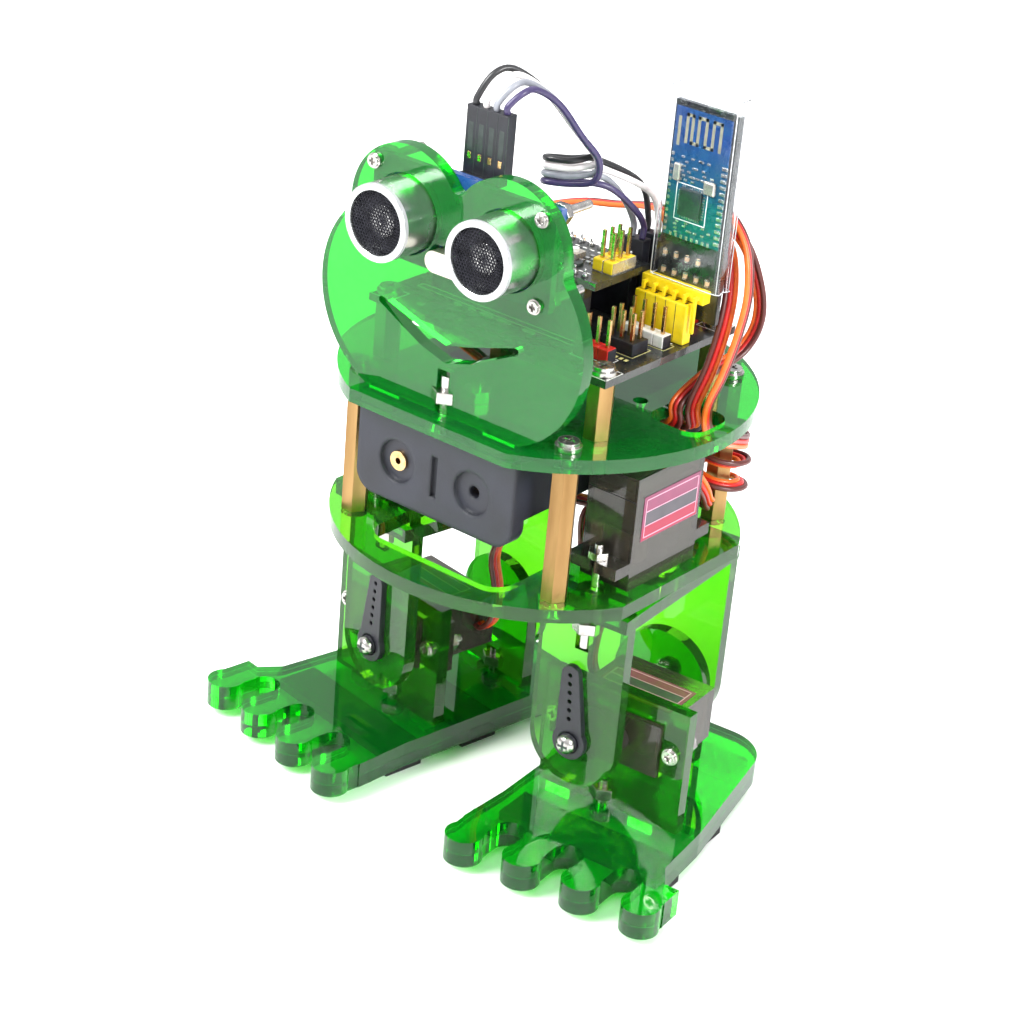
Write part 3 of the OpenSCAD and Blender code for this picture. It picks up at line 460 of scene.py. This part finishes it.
def ring_into(bm, centre, inner, outer, y0, y1, around=64, lip=0.0):
    """A flat ring about a Y axis between two radii, with a rounded lip."""
    profile = [(inner, y1), (inner, y0 + lip), (inner + lip, y0), (outer - lip, y0),
               (outer, y0 + lip), (outer, y1)]
    loops = []
    for k in range(around):
        t = 2 * math.pi * k / around
        c, s = math.cos(t), math.sin(t)
        loops.append([bm.verts.new(Vector((centre.x + r * c, y, centre.z + r * s)) * MM)
                      for r, y in profile])
    for k in range(around):
        one, two = loops[k], loops[(k + 1) % around]
        for i in range(len(profile)):
            j = (i + 1) % len(profile)
            bm.faces.new((one[i], one[j], two[j], two[i]))


# ---------- CAD nodes get their surfaces ----------
CAD_SURFACES = {
    "acrylic": "top_plate face_plate",
    "acrylic_foot": "foot_plates_l foot_plates_r",
    "acrylic_pale": "waist_plate hip_plate_l leg_front_l leg_rear_l ankle_plate_l heel_plate_l "
                    "hip_plate_r leg_front_r leg_rear_r ankle_plate_r heel_plate_r",
    "brass": "standoffs",
    "nickel": "body_screws leg_fixings_l leg_fixings_r foot_fixings_l foot_fixings_r",
    "holder": "battery_holder",
    "black": "sonar_header sonar_plugs shield_sockets jumper_headers servo_plugs leg_horns_l leg_horns_r",
    "wrap": "battery_cells",
    "gold": "battery_contacts header_pins",
    "smoke": "hip_servos ankle_servo_l ankle_servo_r",
    "steel": "hip_servo_works ankle_works_l ankle_works_r",
    "blue_pcb": "sonar_board",
    "can": "sonar_cans",
    "crystal": "sonar_parts controller_parts",
    "black_pcb": "shield_board controller_board radio_board",
    "film": "radio_sleeve",
    "yellow": "radio_header",
    "white": "reset_button",
    "rubber": "foot_pads_l foot_pads_r",
}


def dress_cad():
    for surface_name, names in CAD_SURFACES.items():
        for name in names.split():
            data = nodes[name].data
            data.materials.clear()
            data.materials.append(M[surface_name])


def mm_box(node):
    lo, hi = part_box(node)
    return lo / MM, hi / MM


# ---------- sonar eyes ----------
SCREEN_PITCH, SCREEN_BAR, SCREEN_DEPTH = 0.72, 0.16, 0.25
ROW_TO_PITCH, CORNER_TO_PITCH = 0.866, 0.578


def hex_mesh_into(bm, centre, radius, y):
    """Hexagonal wire screen about a Y axis."""
    row_step = SCREEN_PITCH * ROW_TO_PITCH
    big = SCREEN_PITCH * CORNER_TO_PITCH
    small = big - SCREEN_BAR
    rows = int(radius / row_step) + 1
    for row in range(-rows, rows + 1):
        for col in range(-rows, rows + 1):
            x = (col + 0.5 * (row % 2)) * SCREEN_PITCH
            z = row * row_step
            if math.hypot(x, z) > radius:
                continue
            outer, inner = [], []
            for k in range(6):
                t = math.radians(60 * k + 30)
                for corners, r, at_y in ((outer, big, y), (inner, small, y + SCREEN_DEPTH)):
                    corner = Vector((centre.x + x + r * math.cos(t), at_y, centre.z + z + r * math.sin(t)))
                    corners.append(bm.verts.new(corner * MM))
            for k in range(6):
                j = (k + 1) % 6
                bm.faces.new((outer[k], outer[j], inner[j], inner[k]))


def make_eyes():
    """Rim, wire screen, dark liner and transducer cone of the two sonar cans."""
    lo, hi = mm_box("sonar_cans")
    front, mid_z = lo.y, (lo.z + hi.z) / 2
    outer = (hi.z - lo.z) / 2
    rims, screens, backs, cones = bmesh.new(), bmesh.new(), bmesh.new(), bmesh.new()
    for x in (lo.x + outer, hi.x - outer):
        centre = Vector((x, 0, mid_z))
        ring_into(rims, centre, outer - 1.28, outer + 0.02, front - 0.05, front + 0.9, lip=0.2)
        hex_mesh_into(screens, centre, outer - 1.4, front + 0.55)
        ring_into(backs, centre, 0.02, outer - 1.32, front + 2.05, front + 2.15)
        ring_into(cones, centre, 0.4, 3.4, front + 1.6, front + 2.1, lip=0.3)
    add_piece("can_rims", rims, M["rim"], "torso")
    add_piece("can_screens", screens, M["mesh"], "torso")
    add_piece("can_liners", backs, M["black"], "torso")
    add_piece("transducer_cones", cones, M["solder"], "torso", smooth=True)


# ---------- sonar plug and leads ----------
LEAD_NAMES = ("black", "white", "grey", "purple")
SHIELD_PLUG_X, SHIELD_PLUG_YS = 11.15, (15.7, 10.65)


def sonar_route(i, plug_y, lead_top, plug_top):
    """Route of lead i in mm, up out of the sonar plug, over the controller and down into a shield plug."""
    k = i - 1.5
    y = SHIELD_PLUG_YS[i // 2]
    x = SHIELD_PLUG_X + (i % 2 - 0.5) * PIN_PITCH
    return [(PIN_PITCH * k, plug_y, lead_top), (PIN_PITCH * k, plug_y, lead_top + 1.5),
            (PIN_PITCH * k + 1.6, plug_y + 2.4, lead_top + 5 - 0.6 * k),
            (2.6 + 2 * k, -19.6, lead_top + 5.3 - 0.9 * k),
            (5.6 + 1.6 * k, -14.5 - 0.5 * k, lead_top + 1.4 - 0.4 * k),
            (8.6 + 1.3 * k, -9.5 - 0.9 * k, lead_top - 5.6),
            (11 + 1.25 * k, -6 - k, lead_top - 10.6),
            (10.6 + 0.7 * k, -5.2 - k, lead_top - 13.2 - 1.4 * k),
            (6.8, -7.8, lead_top - 14.6 - 1.6 * k), (2.2, -9.6, lead_top - 15 - 1.6 * k),
            (0.4, -7.6, lead_top - 15.6 - 1.6 * k), (3.2, -3.6, lead_top - 16 - 1.6 * k),
            (7.4 + k, 1.6, lead_top - 16.6 - 1.6 * k), (x - 0.6, y - 3.4, plug_top + 9 - 1.2 * k),
            (x, y, plug_top + 3), (x, y, plug_top)]


def make_sonar_leads():
    lo, hi = mm_box("sonar_plugs")
    plug_y, lead_top = lo.y + PIN_PITCH / 2, hi.z
    plug_top = mm_box("servo_plugs")[1].z
    for i, name in enumerate(LEAD_NAMES):
        wire(f"sonar_wire_{name}", sonar_route(i, plug_y, lead_top, plug_top), SONAR_WIRE_RADIUS,
             M[name + "_wire"], "torso", f"sonar_lead_{name}")
    windows, grooves = [], []
    back = lo.y + 0.2
    for k in (-1.5, -0.5, 0.5, 1.5):
        x = PIN_PITCH * k
        windows.append(((x - 0.45, lo.y - 0.06, lead_top - 10.6), (x + 0.45, back, lead_top - 9.2)))
        grooves.append(((x - 0.62, lo.y - 0.04, lead_top - 8.8), (x + 0.62, back, lead_top - 3.2)))
        grooves.append(((x + 1.2, lo.y - 0.05, lead_top - 13.9), (x + 1.34, back, lead_top - 0.1)))
    blocks("plug_contacts", windows, M["gold"], "torso", 0.00005)
    blocks("plug_tongues", grooves, M["chip"], "torso", 0.0001)


# ---------- servo leads ----------
SPLIT = (-16, 15.5, 58.6)
SPLIT_BEND, ANKLE_BEND = 0.009, 0.02
POST_X, POST_Y, COIL_LOW = 27, 27.7, 69.5
COIL_RADIUS, COIL_POINTS, COIL_START, COIL_STEP, COIL_RISE = 5.2, 23, -70, 45, 0.62
SERVO_ROW_Y, PLUG_ENTRY = 16.3, 2.4


def side_word(side):
    return "left" if side > 0 else "right"


def ankle_height():
    return joints["left_ankle"]["pos_m"][2] / MM


def foot_frame(side):
    """Foot axes: u outwards, v back, up; origin on the floor under the ankle axis."""
    joint = joints[side_word(side) + "_ankle"]
    v = Vector(joint["axis"])
    u = Vector((v.y, -v.x, 0)) * side
    place = Matrix((u, v, Vector((0, 0, 1)))).transposed().to_4x4()
    place.translation = Vector((joint["pos_m"][0], joint["pos_m"][1], 0))
    return place


def in_body(side, point):
    """A point in mm of the foot's own axes, in mm of the shared frame."""
    return tuple((foot_frame(side) @ (Vector(point) * MM)) / MM)


def coil_points():
    """The left hip lead's turns round the rear standoff."""
    out = []
    for i in range(COIL_POINTS):
        t = math.radians(COIL_START - COIL_STEP * i)
        out.append((POST_X + COIL_RADIUS * math.cos(t), POST_Y + COIL_RADIUS * math.sin(t),
                    COIL_LOW + COIL_RISE * i))
    return out


def into_plug(i):
    """The last two points of a servo lead, down into plug i of the row on the shield."""
    lo, hi = mm_box("servo_plugs")
    x = lo.x + 1.22 + PIN_PITCH * i
    return [(x, SERVO_ROW_Y, hi.z + PLUG_ENTRY), (x, SERVO_ROW_Y, hi.z)]


def make_servo_leads():
    """Four leads up to the shield's plugs, and one down each leg that joins them above the leg."""
    exit_z = mm_box("waist_plate")[1].z + 18
    ankle_z = ankle_height()
    hip_l = [(29.6, 8.15, exit_z), (29.6, 10.2, exit_z), (29.8, 13.4, 80), (30.6, 17.4, 75),
             (29.8, 20.6, 71)] + coil_points() + [
        (33.4, 22, 86), (35.8, 13.4, 90), (36.4, 7.6, 92.8), (36.2, 6, 99), (37, 9, 106),
        (37.4, 12, 114), (37, 14.4, 122), (34.6, 16, 130), (31, 16.4, 134.8),
        (26.6, 16.6, 137), (21.6, 16.4, 135.2)]
    hip_r = [(-29.6, 8.15, exit_z), (-29.6, 10.2, exit_z), (-29.8, 14, 84), (-30.6, 15, 88),
             (-33, 10, 91.6), (-34, 6, 94), (-34, 5.4, 99), (-34.4, 12, 105), (-32.6, 20, 112),
             (-27, 25, 119), (-16, 25.6, 124), (-4, 24.6, 127), (4, 22.4, 129.6), (11.6, 18.6, 131.6)]
    up_l = [in_body(1, SPLIT), in_body(1, (-16, 15.5, 65.6)), (11, 12, 69.2), (17.6, 17, 69.8),
            (22, 18.4, 74), (22, 17.6, 87), (24.4, 14, 90.8), (30, 8.6, 92.4), (33, 6.4, 94.6),
            (33, 5.6, 99), (33.8, 8.6, 106), (34, 11.4, 114), (33, 14, 121), (30.8, 15.8, 127.4),
            (27.8, 16.3, 131.6), (24.4, 16.3, 132.8)]
    up_r = [in_body(-1, SPLIT), in_body(-1, (-16, 15.5, 65.6)), (-4, 2.6, 68.6), (6, 1, 70.2),
            (15, 4, 70.6), (20.4, 10.6, 71.2), (22, 13.6, 75), (22, 13.4, 87), (24, 10, 90.6),
            (27.4, 6.2, 92.2), (29.8, 4.6, 95), (29.8, 4.6, 99), (30.6, 12.6, 103), (32.6, 21.6, 106.6),
            (33.6, 25, 113), (32, 25, 121), (28, 23, 129.4), (20.4, 19.4, 133.4)]
    ribbon("hip_ribbon_l", hip_l + into_plug(2), "torso", "hip_lead_l", (0, 0, 1))
    ribbon("hip_ribbon_r", hip_r + into_plug(0), "torso", "hip_lead_r", (0, 0, 1))
    for side, body, points in ((1, "left", up_l + into_plug(3)), (-1, "right", up_r + into_plug(1))):
        start = Vector(in_body(side, SPLIT)) * MM
        blend = (body + "_leg", "torso", start, start + Vector((0, 0, SPLIT_BEND)))
        ribbon(f"upper_ribbon_{body}", points, None, f"upper_lead_{body[0]}", (0, 1, 0), blend)
        low = [in_body(side, p) for p in (
            (-6.1, 17, ankle_z), (-8, 17, ankle_z), (-10.8, 17.3, ankle_z + 4),
            (-10.6, 17.6, ankle_z + 11), (-9, 17.4, ankle_z + 17.5), (-11, 16.8, ankle_z + 23.4),
            (-15, 15.9, ankle_z + 27.6), (-16, 15.5, 56.6), SPLIT)]
        base = Vector(in_body(side, (-9, 17, ankle_z + 1))) * MM
        blend = (body + "_foot", body + "_leg", base, base + Vector((0, 0, ANKLE_BEND)))
        ribbon(f"ankle_ribbon_{body}", low, None, f"ankle_lead_{body[0]}", (0, 1, 0), blend)


# ---------- servo labels ----------
LABEL_LENGTH, LABEL_HEIGHT = 19.4, 10
SERVO_HALF_WIDTH = 6.14
SEAM_DEPTH = 0.14


def make_label(name, body, place):
    """A plain banded sticker with a thin frame, drawn in mm about its middle."""
    a, b = LABEL_LENGTH / 2, LABEL_HEIGHT / 2
    blocks(name + "_sheet", [((-a, -b, 0), (a, b, 0.12))], M["label"], body, 0.00004, place)
    blocks(name + "_deep", [((-a + 0.2, -b + 0.2, 0.1), (a - 0.2, -b + 3.1, 0.14))], M["label_deep"],
           body, 0, place)
    blocks(name + "_band", [((-a + 0.9, -b + 3.4, 0.1), (a - 0.9, b - 3.6, 0.15))], M["label_grey"],
           body, 0, place)
    line = 0.22
    x0, x1, y0, y1 = -a + 0.7, a - 0.7, -b + 0.7, b - 0.7
    flat = ((x0, y0, x1, y0 + line), (x0, y1 - line, x1, y1), (x0, y0, x0 + line, y1),
            (x1 - line, y0, x1, y1), (x0, -b + 3.2, x1, -b + 3.4), (x0, b - 3.6, x1, b - 3.4))
    lines = [((p, q, 0.1), (r, s, 0.17)) for p, q, r, s in flat]
    blocks(name + "_frame", lines, M["label_line"], body, 0, place)


def make_labels():
    """Stickers on the hip servos' outer sides and the ankle servos' tops, and the hip servos' seams."""
    lo, hi = mm_box("hip_servos")
    seam_z = hi.z - 5.2
    hip_x = joints["left_hip"]["pos_m"][0] / MM
    seams = []
    for side in (1, -1):
        word = side_word(side)
        place = Matrix(((0, side, 0), (0, 0, 1), (side, 0, 0))).transposed().to_4x4()
        place.translation = Vector((hi.x if side > 0 else lo.x, -2.4, hi.z - 9.6)) * MM
        make_label("hip_label_" + word[0], "torso", place)
        on_top = Matrix.Translation(Vector((5.3, 11.6, ankle_height() + 6.1)) * MM)
        place = foot_frame(side) @ on_top @ Matrix.Diagonal((side, 1, 1, 1))
        make_label("ankle_label_" + word[0], word + "_foot", place)
        x0, x1 = side * hip_x - SERVO_HALF_WIDTH, side * hip_x + SERVO_HALF_WIDTH
        for y0, y1 in ((-14.69, -14.6), (8.1, 8.19)):
            seams.append(((x0, y0, seam_z), (x1, y1, seam_z + SEAM_DEPTH)))
    blocks("servo_seams", seams, M["black"], "torso", 0)


# ---------- boards ----------
def make_shield_details():
    """Silk outlines, pads, small parts and the coloured headers of the shield, with painted shade in the
    yellow socket's openings and grooves.
    """
    hi = mm_box("shield_board")[1]
    top, silk_top = hi.z, hi.z + SILK_RISE
    yellow, white, pads, parts = [], [], [], []

    def outline(x0, y0, x1, y1, into, t=0.16):
        for a, b, c, d in ((x0, y0, x1, y0 + t), (x0, y1 - t, x1, y1), (x0, y0, x0 + t, y1),
                           (x1 - t, y0, x1, y1)):
            into.append(((a, b, top), (c, d, silk_top)))

    outline(17.0, -0.7, 28.4, 3.1, yellow)
    outline(17.8, -8.7, 26.6, -2.4, yellow)
    outline(16.8, -15.2, 25.4, -11.5, white)
    outline(-23, 11.8, -6, 20.8, white)
    outline(-26.4, -11.4, 14.6, -9.4, yellow)
    for i in range(7):
        yellow.append(((18.2 + i * 1.3, -10.9, top), (18.9 + i * 1.3, -9.9, silk_top)))
        white.append(((17.4 + i * 1.5, 3.5, top), (18.3 + i * 1.5, 3.9, silk_top)))
    for i in range(6):
        pads.append(((-20 + i * 5.3, -19.4, top), (-18.4 + i * 5.3, -17.8, top + 0.06)))
    for _ in range(16):
        x, y = random.uniform(-20, 22), random.choice((-13.4, -16.2, 21))
        parts.append(((x, y, top), (x + 1.6, y + 0.8, top + 0.45)))
    for sx in (-27.2, 27.2):
        for sy in (-19, 19):
            outline(sx - 2.9, sy - 2.9, min(sx + 2.9, hi.x - 0.1), sy + 2.9, white, 0.2)
    blocks("shield_silk_yellow", yellow, M["silk_yellow"], "torso", 0)
    blocks("shield_silk_white", white, M["silk"], "torso", 0)
    blocks("shield_pads", pads, M["solder"], "torso", 0.00003)
    blocks("shield_parts", parts, M["tan"], "torso", 0.00008)
    red = [((17.2 + i * PIN_PITCH, -14.75, top), (19.72 + i * PIN_PITCH, -11.9, top + 2.64))
           for i in range(3)]
    blocks("red_header", red, M["red"], "torso", 0.0002)
    blocks("red_servo_row", [((13.85, 15.0, top), (24.1, 17.6, top + 2.58))], M["red"], "torso", 0.00025)
    white = [((17.5 + i * PIN_PITCH, -0.25, top), (20.02 + i * PIN_PITCH, 2.6, top + 2.64))
             for i in range(4)]
    blocks("white_header", white, M["white"], "torso", 0.0002)
    blocks("yellow_socket", [((16.45, 4.35, top), (29.25, 7.05, top + 8.56))], M["yellow"], "torso", 0.0002)
    # near-black marks on the yellow socket's openings and on the grooves between its positions: painted
    # shade in these hollows
    slots = []
    for i in range(5):
        x = 17.9 + i * PIN_PITCH
        slots.append(((x - 0.5, 5.2, top + 8.5), (x + 0.5, 6.3, top + 8.6)))
    for i in range(4):
        x = 19.1 + i * PIN_PITCH
        slots.append(((x - 0.06, 4.3, top + 0.4), (x + 0.06, 4.4, top + 8.4)))
    blocks("yellow_socket_painted_shade", slots, M["chip"], "torso", 0)
    row = [((13.85, 17.6, top), (24.1, 20.16, top + 2.58))]
    blocks("servo_row_yellow", row, M["yellow"], "torso", 0.00025)


def make_controller_details():
    """Soldered pin rows, silk marks, chips with their legs and the programming header of the controller."""
    top = mm_box("controller_board")[1].z
    solder = bmesh.new()
    joint_and_tip = ((0.55, 10, 0.85, 0.22, 1.1), (1.4, 8, 0.24, 0.2, 1.0))
    for i in range(15):
        for y in (-7.62, 7.62):
            for rise, sides, low_r, high_r, depth in joint_and_tip:
                where = Matrix.Translation(Vector((-23.3 + i * PIN_PITCH, y, top + rise)) * MM)
                bmesh.ops.create_cone(solder, cap_ends=True, segments=sides, radius1=low_r * MM,
                                      radius2=high_r * MM, depth=depth * MM, matrix=where)
    add_piece("controller_solder", solder, M["solder"], "torso", smooth=True)
    silk = [((-25 + i * 1.9, y, top), (-24 + i * 1.9, y + 0.35, top + SILK_RISE))
            for i in range(20) for y in (-5.7, 5.4)]
    blocks("controller_silk", silk, M["silk"], "torso", 0)
    chips = [((-14.2, -2.6, top), (-10.6, 2.6, top + 0.9)),
             ((-9.05, -3.55, top), (-1.95, 3.55, top + 1.04)), ((6.6, -4.4, top), (8.0, -2.4, top + 0.6))]
    blocks("controller_chips", chips, M["chip"], "torso", 0.0001)
    legs = []
    for i in range(8):
        for y in (-4.3, 3.6):
            legs.append(((-8.7 + i * 0.85, y, top), (-8.4 + i * 0.85, y + 0.7, top + 0.16)))
    for i in range(9):
        x, y = (i % 3) * 1.5, (i // 3) * 1.7
        legs.append(((5.9 + x, -1.2 + y, top), (6.9 + x, -0.5 + y, top + 0.4)))
    blocks("controller_legs", legs, M["solder"], "torso", 0.00004)
    posts = [((10.45 + c * 2.62, -3.0 + r * 2.6, top), (12.98 + c * 2.62, -0.47 + r * 2.6, top + 2.62))
             for c in range(2) for r in range(3)]
    blocks("isp_header", posts, M["yellow"], "torso", 0.0003)


def make_radio_details():
    """Antenna track, pads, chip and small parts of the upright radio board, in mm from its lower middle."""
    lo, hi = mm_box("radio_board")
    mid = (lo.x + hi.x) / 2
    face, carrier = lo.y + 0.7, lo.y + 1.5
    split = lo.z + 16

    def on_face(x0, z0, x1, z1, rise=0.05):
        return ((mid + x0, face - rise, split + z0), (mid + x1, face + 0.02, split + z1))

    blocks("radio_mask", [on_face(-6.75, 0, 6.75, 26.6, 0.03)], M["radio_mask"], "torso", 0)
    sheet = [((lo.x, carrier - 0.03, lo.z), (hi.x, carrier + 0.05, split + 0.02))]
    blocks("radio_carrier", sheet, M["black_pcb"], "torso", 0)
    runs = ((-6.0, 18.6, -5.3, 24.6), (-4.2, 24.9, -2.2, 25.6), (-4.2, 19.4, -3.5, 25.6),
            (-2.9, 19.4, -2.2, 25.6), (-2.9, 19.4, -0.7, 20.1), (-1.4, 19.4, -0.7, 25.6),
            (-1.4, 24.9, 1.1, 25.6), (0.4, 19.4, 1.1, 25.6), (0.4, 19.4, 2.8, 20.1),
            (2.1, 19.4, 2.8, 25.6), (2.1, 24.9, 4.6, 25.6), (3.9, 19.4, 4.6, 25.6))
    track = [on_face(*run) for run in runs]
    blocks("radio_antenna", track, M["antenna"], "torso", 0.00002)
    pads = [on_face(5.5, 0.8 + i * 1.3, 6.75, 1.5 + i * 1.3, 0.3) for i in range(13)]
    pads += [on_face(-6.75, 0.8 + i * 1.3, -6.1, 1.5 + i * 1.3, 0.2) for i in range(13)]
    pads += [on_face(-5.2 + i * 1.3, 0, -4.6 + i * 1.3, 0.8, 0.2) for i in range(8)]
    blocks("radio_pads", pads, M["solder"], "torso", 0.00008)
    cans = [on_face(-5.6, 11.6, -4.0, 15.2, 0.75), on_face(1.9, 10.6, 4.6, 13.4, 0.75)]
    blocks("radio_crystals", cans, M["crystal"], "torso", 0.0003)
    blocks("radio_chip", [on_face(-3.5, 4.9, 1.7, 10.5, 0.78)], M["chip"], "torso", 0.0001)
    legs = []
    for i in range(9):
        s = i * 0.56
        feet = ((-3.3 + s, 10.5, -3.05 + s, 11.1), (-3.3 + s, 4.2, -3.05 + s, 4.9),
                (1.7, 5.1 + s, 2.3, 5.35 + s), (-4.1, 5.1 + s, -3.5, 5.35 + s))
        legs += [on_face(*foot, 0.12) for foot in feet]
    rows = (0.9, 1.7, 2.5, 3.2, 11.9, 12.8, 13.7, 14.7, 15.6, 16.5)
    for _ in range(44):
        x, z = random.uniform(-5.2, 4.2), random.choice(rows)
        legs.append(on_face(x, z, x + 0.75, z + 0.4, 0.3))
    blocks("radio_small_parts", legs, M["solder"], "torso", 0.00005)
    silk = [on_face(-4.7, 3.7, 2.9, 3.85, 0.06), on_face(-4.7, 11.2, 2.9, 11.35, 0.06),
            on_face(-4.7, 3.7, -4.55, 11.35, 0.06), on_face(2.75, 3.7, 2.9, 11.35, 0.06)]
    blocks("radio_silk", silk, M["silk"], "torso", 0)
    small, ends = [], []
    for i in range(14):
        x, z = mid - 6.4 + (i % 5) * 2.7, lo.z + 4 + (i // 5) * 3.6
        small.append(((x, carrier - 0.55, z), (x + 0.8, carrier, z + 1.5)))
        for z0 in (z, z + 1.15):
            ends.append(((x - 0.05, carrier - 0.58, z0), (x + 0.85, carrier, z0 + 0.35)))
    blocks("carrier_parts", small, M["tan"], "torso", 0.00005)
    blocks("carrier_ends", ends, M["solder"], "torso", 0.00005)


EDGE_INSET, EDGE_RADIUS = 0.14, 0.1


def make_sleeve_highlights():
    """Painted highlight: pale grey tubes along the clear sleeve's edges round the radio board, standing in
    for the light the film catches at its edges.
    """
    lo, hi = mm_box("radio_sleeve")
    x0, x1, y0, y1 = lo.x + EDGE_INSET, hi.x - EDGE_INSET, lo.y + EDGE_INSET, hi.y - EDGE_INSET
    mid_x, mid_y, mid_z = (x0 + x1) / 2, (y0 + y1) / 2, (lo.z + hi.z) / 2
    bm = bmesh.new()
    for x in (x0, x1):
        for y in (y0, y1):
            path = [Vector((x, y, z)) for z in (lo.z + 0.2, mid_z, hi.z - 0.2)]
            tube_into(bm, path, carried_sides(path, (1, 0, 0)), EDGE_RADIUS, around=8)
    around_board = ((x0, y0), (mid_x, y0), (x1, y0), (x1, mid_y), (x1, y1), (mid_x, y1), (x0, y1),
                    (x0, mid_y), (x0, y0))
    for z in (lo.z + EDGE_INSET, hi.z - EDGE_INSET):
        path = smooth_route([(x, y, z) for x, y in around_board], 4)
        tube_into(bm, path, carried_sides(path, (0, 0, 1)), EDGE_RADIUS, around=8)
    add_piece("painted_sleeve_highlights", bm, M["painted_film_highlight"], "torso", smooth=True)


HORN_FRONT = -11.0
SCREW_SIDES = 28
SCREW_PROFILE = ((0.9, -1.2), (1.6, -0.95), (2.05, -0.45), (2.15, 0.05))
SCREW_CROWN = -1.25


def make_horn_screws():
    """Silver cross-head screw on each horn's hub; its cross is dark blocks on the head, painted shade in
    the recess.
    """
    z = ankle_height()
    for side in (1, -1):
        word, foot = side_word(side), foot_frame(side)
        bm = bmesh.new()
        loops = []
        for k in range(SCREW_SIDES):
            t = 2 * math.pi * k / SCREW_SIDES
            c, s = math.cos(t), math.sin(t)
            loops.append([bm.verts.new(foot @ (Vector((r * c, HORN_FRONT + v, z + r * s)) * MM))
                          for r, v in SCREW_PROFILE])
        cap = bm.verts.new(foot @ (Vector((0, HORN_FRONT + SCREW_CROWN, z)) * MM))
        for k in range(SCREW_SIDES):
            one, two = loops[k], loops[(k + 1) % SCREW_SIDES]
            bm.faces.new((cap, one[0], two[0]))
            for i in range(len(one) - 1):
                bm.faces.new((one[i], one[i + 1], two[i + 1], two[i]))
        add_piece(f"horn_screw_{word}", bm, M["nickel"], word + "_leg", smooth=True)
        # the cross recess is drawn as near-black blocks: painted shade
        slots = ((1.15, 0.24), (0.24, 1.15))
        cross = [((-w, HORN_FRONT - 1.3, z - h), (w, HORN_FRONT - 1.05, z + h)) for w, h in slots]
        blocks(f"horn_cross_shade_{word}", cross, M["chip"], word + "_leg", 0, foot)


M = make_materials()
make_camera()
make_studio()
dress_cad()
make_eyes()
make_sonar_leads()
make_servo_leads()
make_labels()
make_shield_details()
make_controller_details()
make_radio_details()
make_sleeve_highlights()
make_horn_screws()
